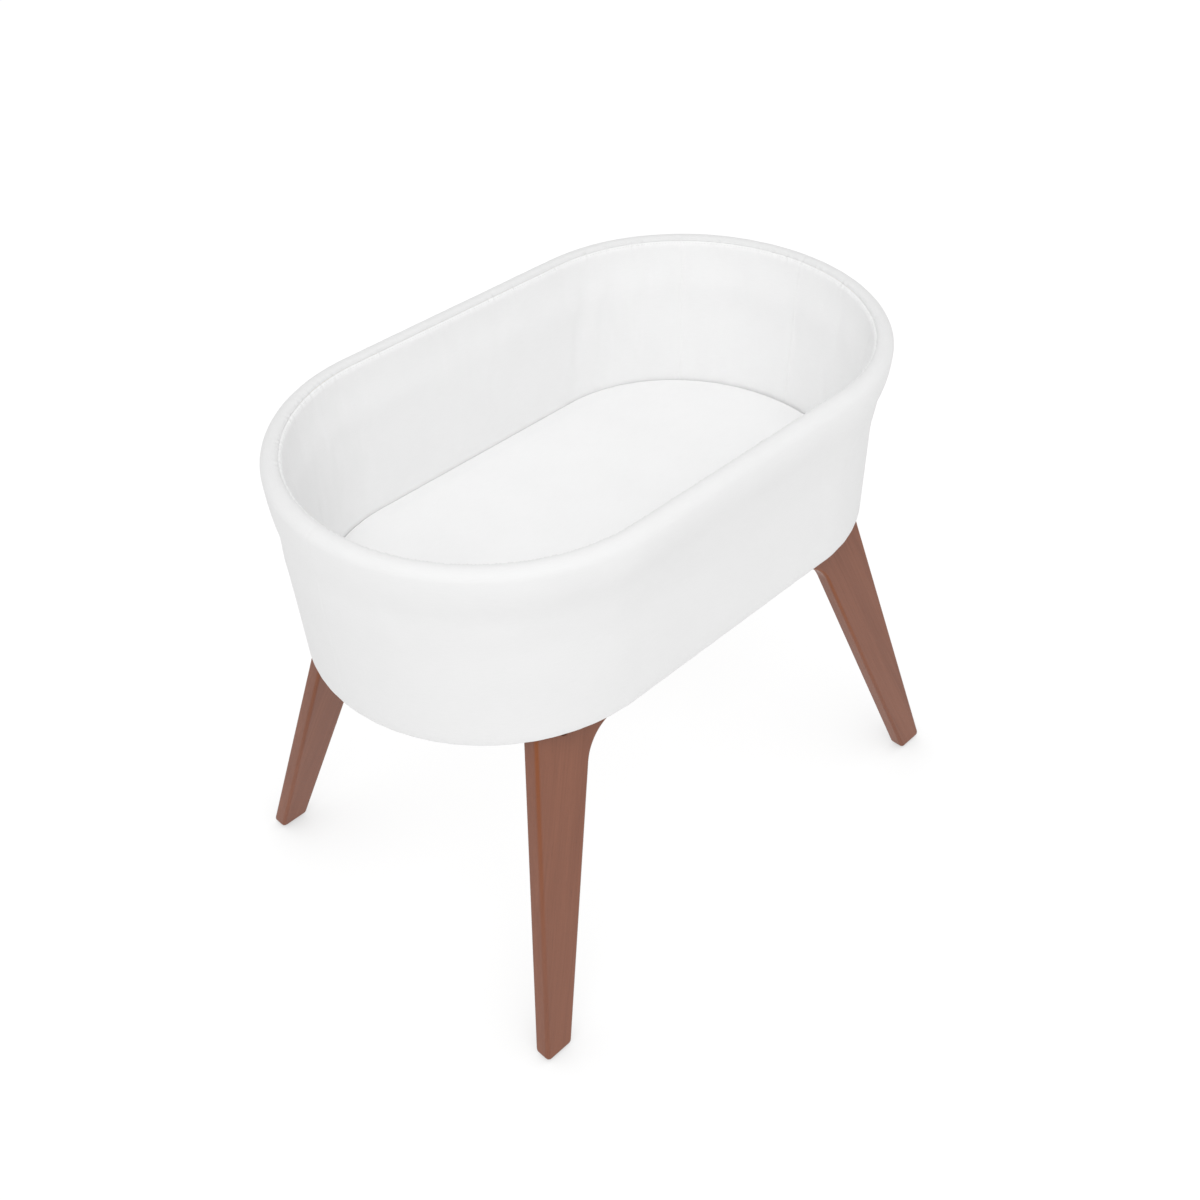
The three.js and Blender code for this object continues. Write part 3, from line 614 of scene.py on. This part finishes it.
def add_studio():
    world = bpy.data.worlds.new("studio")
    bpy.context.scene.world = world
    world.use_nodes = True
    background = world.node_tree.nodes["Background"]
    background.inputs["Color"].default_value = (1, 1, 1, 1)
    background.inputs["Strength"].default_value = WORLD_GLOW
    bpy.context.scene.view_settings.view_transform = "Standard"
    mesh = bpy.data.meshes.new("floor")
    h = FLOOR_HALF
    mesh.from_pydata([(-h, -h, 0), (h, -h, 0), (h, h, 0), (-h, h, 0)], [], [(0, 1, 2, 3)])
    add_object("floor", mesh, material=floor_material())
    for light in LIGHTS:
        add_light(*light)


def add_light(name, place, target, size, power, spread):
    """A soft square light that looks at a point."""
    light = bpy.data.lights.new(name, "AREA")
    light.size = size
    light.energy = power
    light.spread = math.radians(spread)
    lamp = bpy.data.objects.new(name, light)
    lamp.location = place
    aim = Vector(target) - Vector(place)
    lamp.rotation_euler = aim.to_track_quat("-Z", "Y").to_euler()
    bpy.context.scene.collection.objects.link(lamp)


add_studio()

# ---- The skin: one surface that the cover and the liner share ----
ROUND = stations(per_end=330, per_side=120)
SPARSE = ROUND[::3]
COARSE = stations(per_end=90, per_side=44)
ROWS, PAST_SEAM = skin_rows()
SKIN = rings(ROWS, ROUND)
SKIN_NORMALS = normals_of(SKIN)
UP = lengths_up(SKIN)
ALONG, PERIMETER = lengths_round(SKIN[PAST_SEAM - 1])
SEAM_UP = (UP[PAST_SEAM - 1] + UP[PAST_SEAM]) / 2
HEM_UP = UP[HEM_ROWS]  # where the skin turns up from the underside
FAR = 1.0  # beyond the reach of any seam
WAVES = 26
rng = np.random.default_rng(SEED)


def waves(shortest, longest):
    """Uneven waves round the basket with wavelengths between two lengths, from about -1 to 1."""
    low, high = PERIMETER / longest, PERIMETER / shortest
    turns = np.round(rng.uniform(low, high, WAVES))
    phases = rng.uniform(0, 2 * math.pi, WAVES)
    total = sum(np.cos(2 * math.pi * n * ALONG / PERIMETER + p) for n, p in zip(turns, phases))
    return total / math.sqrt(WAVES)


def from_upright_seams(angles):
    """Each station's distance along the surface from the nearest upright seam at those angles."""
    away = np.full(len(ROUND), FAR)
    on_end = ROUND[:, 3] != 0
    for angle in angles:
        distance = np.abs(ROUND[:, 4] - math.radians(angle)) * RIM_OUTSIDE[1]
        away = np.where(on_end, np.minimum(away, distance), away)
    return away


def groove(distance, depth, width):
    """A seam pulled in by depth, or standing out where depth is negative, with the cloth beside it
    moved a little the other way."""
    pulled = -depth * np.exp(-((distance / width) ** 2))
    beside = (np.abs(distance) - 2.6 * width) / (1.5 * width)
    return pulled + 0.15 * depth * np.exp(-(beside**2))


PUCKER_HEIGHT = 0.75 * MM
COVER_PUCKER_REACH = 4.5 * MM
LINER_PUCKER_REACH = 7 * MM
PULL_HEIGHT = 0.2 * MM
HEM_PULL_HEIGHT = 0.22 * MM
DRIFT_HEIGHT = 0.35 * MM


def seam_heights():
    """How far the sewing moves the skin out of its plain shape: seams, the puckers beside them, short
    pulls above the hem and a slow drift of the whole wall."""
    from_seam = (UP - SEAM_UP)[:, None]
    inside = np.arange(len(ROWS))[:, None] >= PAST_SEAM
    height = groove(from_seam, SEAM_DEPTH, SEAM_WIDTH)
    reach = np.where(inside, LINER_PUCKER_REACH, COVER_PUCKER_REACH)
    on_seam = np.exp(-((from_seam / (0.9 * MM)) ** 2))
    pucker = np.exp(-np.abs(from_seam) / reach) * (1 - 0.55 * on_seam)
    height = height + PUCKER_HEIGHT * pucker * waves(7 * MM, 15 * MM)
    pull = np.exp(-np.abs(from_seam) / (16 * MM))
    height = height + PULL_HEIGHT * pull * waves(28 * MM, 70 * MM)
    fade = 1 - np.exp(-np.abs(from_seam) / (5 * MM))
    of_cover = (COVER_SEAMS, ~inside, COVER_SEAM_DEPTH)
    of_liner = (LINER_SEAMS, inside, -LINER_SEAM_RIDGE)
    for angles, side, depth in (of_cover, of_liner):
        upright = groove(from_upright_seams(angles)[None, :], depth, SIDE_SEAM_WIDTH)
        height = height + np.where(side, upright, 0) * fade
    from_hem = (UP - HEM_UP)[:, None]
    hem_pull = np.exp(-np.abs(from_hem) / (9 * MM)) * (from_hem > 0)
    height = height + HEM_PULL_HEIGHT * hem_pull * waves(22 * MM, 60 * MM)
    drift = np.sin(math.pi * np.clip(from_hem / (SEAM_UP - HEM_UP), 0, 1))
    return height + DRIFT_HEIGHT * drift * waves(120 * MM, 420 * MM)


# ---- Cloth simulation ----
SIM_FRAMES = 20
CLOTH_SETTINGS = {
    "quality": 5,
    "mass": 0.3,
    "tension_stiffness": 15.0,
    "compression_stiffness": 15.0,
    "shear_stiffness": 5.0,
    "bending_stiffness": 0.5,
    "use_pressure": True,
}


def simulated(piece, pressure, pinned=None, slack=0.0):
    """The piece's points after its cloth has been blown up without gravity. The piece is removed."""
    cloth = piece.modifiers.new("cloth", "CLOTH")
    settings = cloth.settings
    for name, value in CLOTH_SETTINGS.items():
        setattr(settings, name, value)
    settings.uniform_pressure_force = pressure
    settings.effector_weights.gravity = 0
    settings.shrink_min = -slack
    if pinned is not None:
        group = piece.vertex_groups.new(name="pinned")
        group.add([int(i) for i in np.flatnonzero(pinned)], 1.0, "REPLACE")
        settings.vertex_group_mass = "pinned"
    cloth.point_cache.frame_start = 1
    cloth.point_cache.frame_end = SIM_FRAMES
    scene = bpy.context.scene
    for number in range(1, SIM_FRAMES + 1):
        scene.frame_set(number)
    graph = bpy.context.evaluated_depsgraph_get()
    points = points_of(piece.evaluated_get(graph).to_mesh())
    bpy.data.objects.remove(piece)
    scene.frame_set(1)
    return points


PUFF_CAP = 2 * MM
PUFF_REACH = 9 * MM  # free movement that reaches the cap
PUFF_PRESSURE = 2.0
PUFF_SLACK = 0.004


def puffed_heights():
    """How far the padding pushes the skin out between its seams, found by simulating a coarse copy of
    the skin. It is held at the hem, the rim seam, the upright seams and where the mattress hides it."""
    picked = np.unique(np.concatenate([np.arange(0, len(ROWS), 2), [PAST_SEAM - 1, len(ROWS) - 1]]))
    rows = [ROWS[i] for i in picked]
    grid = rings(rows, COARSE)
    inside = np.arange(len(rows)) >= np.searchsorted(picked, PAST_SEAM)
    held = np.zeros(grid.shape[:2], bool)
    held[picked <= HEM_ROWS] = True
    held[inside & (grid[:, 0, 2] < bed_high.z + MATTRESS_RISE)] = True
    held[np.searchsorted(picked, PAST_SEAM - 1)] = True
    for angles, side in ((COVER_SEAMS, ~inside), (LINER_SEAMS, inside)):
        for angle in angles:
            at = (COARSE[:, 3] != 0) & (np.abs(COARSE[:, 4] - math.radians(angle)) < 1e-6)
            held[np.ix_(side, at)] = True
    coarse = add_object("skin_cloth", grid_mesh("skin_cloth", grid, looped=False))
    points = simulated(coarse, PUFF_PRESSURE, held.reshape(-1), PUFF_SLACK)
    moved = points.reshape(grid.shape)
    out = PUFF_CAP * smoothstep(((moved - grid) * normals_of(grid)).sum(axis=2) / PUFF_REACH)
    at, whole = lengths_round(grid[len(rows) // 2])
    fine_at, fine_whole = lengths_round(SKIN[len(ROWS) // 2])
    fine_at = fine_at / fine_whole * whole
    wrapped = np.concatenate([out, out[:, :1]], axis=1)
    across = np.stack([np.interp(fine_at, np.append(at, whole), row) for row in wrapped])
    return np.stack([np.interp(UP, UP[picked], column) for column in across.T], axis=1)


HEIGHTS = seam_heights() + puffed_heights()


def skin(chosen, depth=0.0):
    """The skin's chosen rows at a depth, with the seams and the padding's shape on them."""
    grid = rings([ROWS[i] for i in chosen], ROUND, depth)
    return grid + SKIN_NORMALS[chosen] * HEIGHTS[chosen][..., None]


def cloth_mesh(name, first, past_last):
    """The skin's cloth over a run of rows, with every second row of them on its back, and a UV map
    along and up the wall."""
    front = np.arange(first, past_last)
    back = np.unique(np.append(front[::2], front[-1]))[::-1]
    grid = np.concatenate([skin(front), skin(back, FABRIC)])
    mesh = grid_mesh(name, grid)
    here = np.append(UP[front], UP[back])
    above = np.roll(here, -1)
    along, whole = lengths_round(grid[len(grid) // 4])
    ahead = np.append(along[1:], whole)
    uv = np.empty((*grid.shape[:2], 4, 2))
    uv[..., 0] = np.stack([along, ahead, ahead, along], axis=-1)
    uv[..., 1] = np.stack([here, here, above, above], axis=-1)[:, None, :]
    add_weave_uv(mesh, uv)
    return mesh


CORNERS = ["front_left", "front_right", "back_left", "back_right"]


def add_cover():
    mesh = cloth_mesh("cover", 0, PAST_SEAM)
    cover = add_object("cover", mesh, "basket", ["outer_cover"], COVER_CLOTH)


def add_liner():
    mesh = cloth_mesh("liner", PAST_SEAM, len(ROWS))
    liner = add_object("liner", mesh, "basket", ["inner_liner"], LINER_CLOTH)


RIM_FOAM_SINK = 1.6 * MM  # room for the rim seam, which pulls the cloth in
LINER_FOAM_SINK = 1.2 * MM


def wall_face(row, heights, depth):
    """A face of the wall at a depth below its outer_row or its inner_row surface."""
    return rings([row(z) for z in heights], SPARSE, depth)


def add_foam():
    """The foam under the cover, under the liner, and over the shell's top edge."""
    depth = FABRIC + GAP
    past_shell = SHELL_DEPTH + SHELL + GAP
    heights = np.linspace(BOTTOM + FABRIC + GAP, RIM_FOAM_FOOT - GAP, LAYER_RINGS)
    front = wall_face(outer_row, heights, depth)
    back = wall_face(outer_row, heights[::-1], depth + OUTER_FOAM)
    add_foam_piece("wall_padding", [front, back], "outer_padding")
    heights = np.linspace(BOARD_TOP + GAP, RIM_FOAM_FOOT - GAP, LAYER_RINGS)
    front = wall_face(outer_row, heights, past_shell)
    back = wall_face(inner_row, heights[::-1], depth + LINER_FOAM_SINK)
    add_foam_piece("liner_foam", [front, back], "inner_padding")
    heights = steps_from(RIM_FOAM_FOOT, RIM_CENTRE, 5)
    slot = np.linspace(RIM_FOAM_FOOT, RIM_CENTRE - SHELL_BELOW_RIM + GAP, 4)
    over = [rim_row(angle) for angle in np.linspace(0, math.pi, 19)]
    grids = [
        wall_face(outer_row, heights, depth + RIM_FOAM_SINK),
        rings(over, SPARSE, depth + RIM_FOAM_SINK),
        wall_face(inner_row, heights[::-1], depth + RIM_FOAM_SINK),
        wall_face(outer_row, slot, past_shell),
        wall_face(outer_row, slot[::-1], SHELL_DEPTH - GAP),
    ]
    add_foam_piece("rim_foam", grids, "rim_padding")


def add_foam_piece(name, grids, node):
    mesh = grid_mesh(name, np.concatenate(grids))
    piece = add_object(name, mesh, "basket", [node], FOAM)


SCREWS = ["left_end", "right_end"] + CORNERS
SCREW_HEAD = 3.5 * MM  # radius
SCREW_SHANK = 1.7 * MM
SCREW_SINK = 1.4 * MM
SCREW_LENGTH = 18 * MM
SCREW_TIP = 3 * MM


def screw_mesh(place, grow=0.0):
    """A countersunk wood screw at a place, or one that is grown all over to cut its hole."""
    shank = SCREW_SHANK + grow
    end = SCREW_LENGTH + grow
    profile = [[0, -grow], [SCREW_HEAD + grow, -grow], [shank, SCREW_SINK + grow]]
    profile += [[shank, SCREW_LENGTH - SCREW_TIP], [0.2 * MM + grow, end], [0, end]]
    mesh = turned_mesh("wall_screw", profile)
    mesh.transform(place)
    return mesh


def box_centre(node):
    low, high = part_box(node)
    return (low + high) / 2


def axis_place(node, axis, start_high=False):
    """The matrix that lays a piece's +Z axis along a node's, from its low or high end."""
    start = box_centre(node)
    start[axis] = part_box(node)[1 if start_high else 0][axis]
    direction = Vector((0, 0, 0))
    direction[axis] = -1 if start_high else 1
    return Matrix.Translation(start) @ direction.to_track_quat("Z", "Y").to_matrix().to_4x4()


def inward_place(node):
    """The matrix that lays a piece's +Z axis along a wall screw's, from its head."""
    low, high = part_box(node)
    size = high - low
    axis = 0 if size.x > size.y else 1
    return axis_place(node, axis, start_high=high[axis] > 0)


def add_shell_and_screws():
    """The moulded wall with its screw holes, and the screws."""
    heights = np.linspace(BOARD_TOP - SHELL_BELOW_BOARD, RIM_CENTRE - SHELL_BELOW_RIM, 20)
    front = wall_face(outer_row, heights, SHELL_DEPTH)
    back = wall_face(outer_row, heights[::-1], SHELL_DEPTH + SHELL)
    mesh = grid_mesh("shell", np.concatenate([front, back]))
    cutters = []
    for tail in SCREWS:
        node = "wall_screw_" + tail
        place = inward_place(node)
        cutters.append(screw_mesh(place, GAP))
        add_object("screw_" + tail, screw_mesh(place), "basket", [node], STEEL)
    made = smooth(cut(mesh, cutters), 30)
    add_object("shell", made, "basket", ["wall_shell"], SHELL_PLASTIC)


def add_board():
    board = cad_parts["base_board"].data
    board.materials.clear()
    board.materials.append(PLY)


PIN_HOLE = 10 * MM


def add_dust_cover():
    """Thin non-woven cloth under the basket, stretched flat, with a hole for each locating pin."""
    low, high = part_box("dust_cover")
    a, b = HEM_OUTSIDE - (HEM_OUTSIDE[0] - high.x)
    faces = [lambda _, z=z: (a, b, z) for z in (low.z, high.z)]
    mesh = grid_mesh("under_cloth", rings(faces, SPARSE), looped=False, capped="both")
    holes = []
    for tail in CORNERS:
        centre = box_centre("locating_pin_" + tail)
        hole = rod(PIN_HOLE, low.z - CUT_PAST, high.z + CUT_PAST)
        hole.transform(Matrix.Translation((centre.x, centre.y, 0)))
        holes.append(hole)
    mesh = smooth(cut(mesh, holes))
    cloth = add_object("under_cloth", mesh, "basket", ["dust_cover"], DUST_CLOTH)


PIN, COLLAR, TANG = 5 * MM, 8 * MM, 4 * MM  # radii
PIN_TIP = [[0, 0], [2.4 * MM, 0], [3.4 * MM, 0.5 * MM], [4.6 * MM, 2.4 * MM], [PIN, 3.6 * MM]]
PIN_EASE = 0.4 * MM  # rounding of its corners


def add_pins():
    """Steel pins with a rounded tip, a collar against the board and a tang in it."""
    for tail in CORNERS:
        node = "locating_pin_" + tail
        low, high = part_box(node)
        collar_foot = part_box("pin_socket_" + tail)[1].z - low.z + 2 * GAP
        collar_top = BOTTOM + FABRIC - low.z
        profile = PIN_TIP + [[PIN, collar_foot - PIN_EASE], [PIN + PIN_EASE, collar_foot]]
        profile += [[COLLAR - PIN_EASE, collar_foot], [COLLAR, collar_foot + PIN_EASE]]
        profile += [[COLLAR, collar_top], [TANG, collar_top]]
        profile += [[TANG, high.z - low.z], [0, high.z - low.z]]
        mesh = turned_mesh("pin", profile)
        mesh.transform(axis_place(node, 2))
        add_object("pin_" + tail, mesh, "basket", [node], STEEL)


# ---- Stitching ----
STITCH = 3.0 * MM
STITCH_PITCH = 4.2 * MM
STITCH_RADIUS = 0.32 * MM
STITCH_ROW = SEAM_ROWS.index(3)  # the stitches lie 3 mm from the seam


def stitch_points():
    """The grid of one stitch along +X: a short thread that dips into the cloth at each end."""
    steps = np.linspace(-1, 1, 7)
    profile = [(STITCH_RADIUS * math.sqrt(1 - t * t * 0.96), t * STITCH / 2) for t in steps]
    grid = np.roll(turned_grid(profile, 6), 1, axis=2)
    grid[:, :, 2] += STITCH_RADIUS * (0.6 - 1.5 * steps * steps)[:, None]
    return grid


def add_stitches(name, line, normals):
    """A row of stitches along a closed line of points on the cloth."""
    at, whole = lengths_round(line)
    count = int(whole / STITCH_PITCH)
    places = (np.arange(count) + 0.5) * whole / count
    wrapped = np.append(at, whole)

    def sampled(values, where):
        closed = np.concatenate([values, values[:1]])
        return np.stack([np.interp(where % whole, wrapped, closed[:, c]) for c in range(3)], axis=1)

    centre = sampled(line, places)
    ahead = unit(sampled(line, places + STITCH / 2) - sampled(line, places - STITCH / 2))
    side = unit(np.cross(sampled(normals, places), ahead))
    axes = np.stack([ahead, side, np.cross(ahead, side)], axis=1)
    one = stitch_points()
    local = one.reshape(-1, 3)
    points = centre[:, None] + local @ axes
    template = grid_mesh("stitch", one, looped=False, capped="both")
    faces = [list(p.vertices) for p in template.polygons]
    everything = [[v + i * len(local) for v in face] for i in range(count) for face in faces]
    mesh = bpy.data.meshes.new(name)
    mesh.from_pydata(points.reshape(-1, 3).tolist(), [], everything)
    add_object(name, smooth(mesh, 60), "basket", material=THREAD)


def add_rim_stitches():
    """A line of stitches on either side of the rim seam."""
    before, after = PAST_SEAM - 1 - STITCH_ROW, PAST_SEAM + STITCH_ROW
    for name, row in (("stitches_cover", before), ("stitches_liner", after)):
        add_stitches(name, skin(np.array([row]))[0], SKIN_NORMALS[row])


# ---- Mattress ----
MATTRESS_EDGE = 3.4 * MM
MATTRESS_FOOT = 3 * MM
MATTRESS_VOXEL = 6 * MM
MATTRESS_SWELL = 2.15 * MM  # how far its sides fill the clearance
MATTRESS_PRESSURE = 0.6
MATTRESS_REACH = 9.2 * MM  # free movement of the top that reaches its full rise
CROWN_START = 12 * MM  # the top is free to rise this far from its edge
TOP_RINGS = 40
TICKING = 1 * MM
TICKING_TURN = 25 * MM  # the cover's hem on the underside


def quarter(radius, depth, count):
    """Pairs of inset and rise round a rounded edge at a depth below its surface, from its side."""
    for angle in np.linspace(0, math.pi / 2, count):
        yield radius - (radius - depth) * math.cos(angle), (radius - depth) * math.sin(angle) - radius


def mattress_rows(depth):
    """Inset and height of each ring of the mattress at a depth, from the hem on the underside, up the
    side and in to the flat middle of the top."""
    middle = bed_high.x + MATTRESS_SWELL - STRAIGHT_HALF - MM
    rows = [(TICKING_TURN, bed_low.z + depth)]
    foot = list(quarter(MATTRESS_FOOT, depth, 5))
    rows += [(inset, bed_low.z - rise) for inset, rise in reversed(foot)]
    rows += [(inset, bed_high.z + rise) for inset, rise in quarter(MATTRESS_EDGE, depth, 8)]
    insets = np.linspace(MATTRESS_EDGE, middle, TOP_RINGS + 1)[1:]
    return rows + [(inset, bed_high.z - depth) for inset in insets]


def mattress_grid(depth, round_it):
    a, b = bed_high.x + MATTRESS_SWELL, bed_high.y + MATTRESS_SWELL
    return rings([lambda _, i=i, z=z: (a - i, b - i, z) for i, z in mattress_rows(depth)], round_it)


def blown_up_top():
    grid = mattress_grid(0, COARSE)
    block = add_object("block", grid_mesh("block", grid, looped=False, capped="both"))
    remesh = block.modifiers.new("even", "REMESH")
    remesh.mode = "VOXEL"
    remesh.voxel_size = MATTRESS_VOXEL
    mesh = applied(block)
    faces = [list(p.vertices) for p in mesh.polygons]
    points = simulated(add_object("block_cloth", mesh), MATTRESS_PRESSURE)
    return BVHTree.FromPolygons(points.tolist(), faces)


def crowned(grid, tree):
    """The mattress's grid with its top raised as the simulated one is."""
    if tree is None:
        return grid
    above = bed_high.z + 100 * MM  # clear of the top
    inset = bed_high.y + MATTRESS_SWELL - grid[:, :, 1].max(axis=1)
    for i in range(len(grid) - TOP_RINGS, len(grid)):
        share = smoothstep(inset[i] / CROWN_START)
        for k, point in enumerate(grid[i]):
            hit = tree.ray_cast(Vector((point[0], point[1], above)), Vector((0, 0, -1)))[0]
            grid[i, k, 2] += MATTRESS_RISE * share * smoothstep((hit.z - bed_high.z) / MATTRESS_REACH)
    return grid


def add_mattress():
    """The foam core and its fitted cover, whose weave lies flat as seen from above."""
    round_it = ROUND[::2]
    tree = blown_up_top()
    grid = crowned(mattress_grid(TICKING + GAP, round_it), tree)
    core = grid_mesh("core", grid, looped=False, capped="both")
    add_object("core", core, "mattress", ["mattress_core"], FOAM)
    grid = crowned(mattress_grid(0, round_it), tree)
    shape = add_object("ticking_shape", grid_mesh("ticking_shape", grid, looped=False, capped="end"))
    thick = shape.modifiers.new("thick", "SOLIDIFY")
    thick.thickness = TICKING
    thick.offset = -1
    mesh = smooth(applied(shape), 60)
    corners = np.empty(len(mesh.loops), int)
    mesh.loops.foreach_get("vertex_index", corners)
    add_weave_uv(mesh, points_of(mesh)[corners, :2])
    ticking = add_object("ticking", mesh, "mattress", ["mattress_cover"], SHEET_CLOTH)


# ---- Stand ----
BOARDS = ["leg_" + corner for corner in CORNERS]
BOARDS += ["side_rail_front", "side_rail_back", "cross_rail_left", "cross_rail_right"]

# How far out the middle of a leg's top is, as shares of its foot's place
SPLAY_ALONG = 0.55
SPLAY_ACROSS = 0.68


def grain_direction(node):
    """The way that a board's grain runs: down a leg, and along a rail."""
    if node.startswith("leg_"):
        foot = box_centre(node.replace("leg_", "foot_pad_"))
        leg_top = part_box(node)[1].z
        top = Vector((SPLAY_ALONG * foot.x, SPLAY_ACROSS * foot.y, leg_top))
        return (foot - top).normalized()
    return Vector((1, 0, 0)) if node.startswith("side_") else Vector((0, 1, 0))


OFF_AXIS = (0.31, 0.2, 0.93)  # not along any board
BOARD_SHIFT = np.array([0.37, 0.91, 0.53])  # so that no two boards show the same wood


def add_grain(mesh, along, number):
    """Stores the grain's coordinates at each point, with x along the grain."""
    across = unit(np.cross(along, OFF_AXIS))
    axes = np.stack([along, across, np.cross(along, across)], axis=1)
    grain = points_of(mesh) @ axes + BOARD_SHIFT * number
    layer = mesh.attributes.new("grain", "FLOAT_VECTOR", "POINT")
    layer.data.foreach_set("vector", grain.reshape(-1))


BAND = 3 * MM  # facets of a rounded edge are narrower than this


def ridge_highlight_share(mesh):
    """How much painted highlight each face gets: 1 in the middle of a board's rounded long edges, less
    on either side of it, and 0 on its flat faces and in its counterbores, which face straight along or
    across Y."""
    ridge_highlight = []
    at = [vertex.co for vertex in mesh.vertices]
    for polygon in mesh.polygons:
        longest = max((at[a] - at[b]).length for a, b in polygon.edge_keys)
        across = abs(polygon.normal.y)
        rounded = polygon.area < BAND * longest and 0.1 < across < 0.97
        middle = 0.4 < across < 0.9
        ridge_highlight.append((1.0 if middle else 0.3) if rounded else 0.0)
    return ridge_highlight


def joined_up(node, finish=None):
    """A copy of a node's CAD mesh with the triangles of its flat faces joined up."""
    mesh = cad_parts[node].data.copy()
    work = bmesh.new()
    work.from_mesh(mesh)
    bmesh.ops.remove_doubles(work, verts=work.verts, dist=MERGE)
    flat = math.radians(0.5)
    bmesh.ops.dissolve_limit(work, angle_limit=flat, verts=work.verts, edges=work.edges)
    if finish:
        finish(work)
    work.to_mesh(mesh)
    work.free()
    return mesh


def add_boards():
    """The boards, each with its own grain, and with their edges shaded round."""
    for number, node in enumerate(BOARDS, 1):
        mesh = joined_up(node)
        add_grain(mesh, grain_direction(node), number)
        # each face's share of the painted highlight along the rounded edges
        ridge_highlight_layer = mesh.attributes.new("edge", "FLOAT", "FACE")
        ridge_highlight_layer.data.foreach_set("value", ridge_highlight_share(mesh))
        smooth(mesh, 38)
        board = add_object(node + "_wood", mesh, "stand", [node], WALNUT)
        weighted = board.modifiers.new("flat_faces", "WEIGHTED_NORMAL")
        weighted.keep_sharp = True
        weighted.weight = 100


# ---- Hardware of the stand ----
def add_copy(kind, mesh, place, node, material):
    copy = mesh.copy()
    copy.transform(place)
    add_object(kind + "_" + node, copy, "stand", [node], material)


def bolt_mesh():
    """A cap bolt with a hexagon socket, a rounded head and a threaded shank."""
    head, depth, shank, length = 6.5 * MM, 5 * MM, 3 * MM, 55 * MM
    pitch = 1 * MM
    plain = 14 * MM  # of the shank, before its thread
    profile = [[0, 0], [head - 1.2 * MM, 0], [head - 0.4 * MM, 0.3 * MM], [head, 1.1 * MM]]
    profile += [[head, depth], [shank, depth], [shank, depth + plain]]
    turns = int((length - depth - plain - 2 * pitch) / pitch)
    for i in range(turns):
        z = depth + plain + (i + 1) * pitch
        profile += [[shank - 0.5 * MM, z], [shank - 0.05 * MM, z + pitch / 2]]
    profile += [[shank - 1 * MM, length], [0, length]]
    socket = rod(2.6 * MM, -1 * MM, 2.5 * MM, sides=6)
    return smooth(cut(turned_mesh("bolt", profile, 40), [socket]), 35)


def barrel_nut_mesh():
    """A steel barrel with eased ends, and a bore through its side for the bolt."""
    radius, height, ease = 5 * MM, 16 * MM, 0.5 * MM
    profile = [[0, 0], [radius - ease, 0], [radius, ease]]
    profile += [[radius, height - ease], [radius - ease, height], [0, height]]
    bore = rod(3.4 * MM, -CUT_PAST, CUT_PAST)
    bore.transform(Matrix.Translation((0, 0, height / 2)) @ Matrix.Rotation(math.pi / 2, 4, "X"))
    return smooth(cut(turned_mesh("nut", profile), [bore]), 35)


def dowel_mesh():
    """A beech dowel with chamfered ends and shallow flutes."""
    radius, length, sides = 4 * MM, 36 * MM, 72
    flutes, flute_depth = 12, 0.25 * MM
    taper, chamfer = 1 * MM, 1.2 * MM
    angles = np.arange(sides) * 2 * math.pi / sides
    fluted = radius - flute_depth * (np.cos(flutes * angles) < -0.4)
    ends = fluted - taper
    profile = [(ends, 0), (fluted, chamfer), (fluted, length - chamfer), (ends, length)]
    mesh = grid_mesh("dowel", turned_grid(profile, sides), looped=False, capped="both")
    add_grain(mesh, (0, 0, 1), number=3)
    return mesh


def add_bolts_nuts_dowels():
    bolt, nut, dowel = bolt_mesh(), barrel_nut_mesh(), dowel_mesh()
    for tail in CORNERS:
        for where in ("outer", "inner"):
            node = f"bolt_{tail}_{where}"
            place = axis_place(node, 1, start_high=tail.startswith("back"))
            add_copy("cap", bolt, place, node, STEEL)
            node = f"barrel_nut_{tail}_{where}"
            add_copy("steel", nut, axis_place(node, 2), node, STEEL)
        for where in ("lower", "upper"):
            node = f"dowel_{tail}_{where}"
            add_copy("beech", dowel, axis_place(node, 0), node, BEECH)


def add_sockets():
    """Flanged nylon sockets, with a lead-in for the pins."""
    bore, outside, flange, depth = 5.4 * MM, 8 * MM, 10 * MM, 20 * MM
    ease, thick, lead_in = 0.5 * MM, 2 * MM, 0.8 * MM
    profile = [[bore, 0], [outside - ease, 0], [outside, ease], [outside, depth - thick]]
    profile += [[flange, depth - thick], [flange, depth - ease], [flange - ease, depth]]
    profile += [[bore + lead_in, depth], [bore, depth - lead_in], [bore, 0]]
    mesh = turned_mesh("socket", profile)
    for tail in CORNERS:
        node = "pin_socket_" + tail
        add_copy("nylon", mesh, axis_place(node, 2), node, NYLON)


def round_over(work):
    """Rounds the level edges of a foot pad."""
    rims = [e for e in work.edges if abs(e.verts[0].co.z - e.verts[1].co.z) < MERGE]
    bmesh.ops.bevel(work, geom=rims, offset=0.5 * MM, segments=3, profile=0.5, affect="EDGES")


def add_foot_pads():
    """Nylon glides under the feet, with their edges rounded over."""
    for tail in CORNERS:
        node = "foot_pad_" + tail
        mesh = smooth(joined_up(node, round_over), 50)
        add_object("glide_" + tail, mesh, "stand", [node], NYLON)


add_cover()
add_liner()
add_foam()
add_shell_and_screws()
add_board()
add_dust_cover()
add_pins()
add_rim_stitches()
add_mattress()
add_boards()
add_bolts_nuts_dowels()
add_sockets()
add_foot_pads()
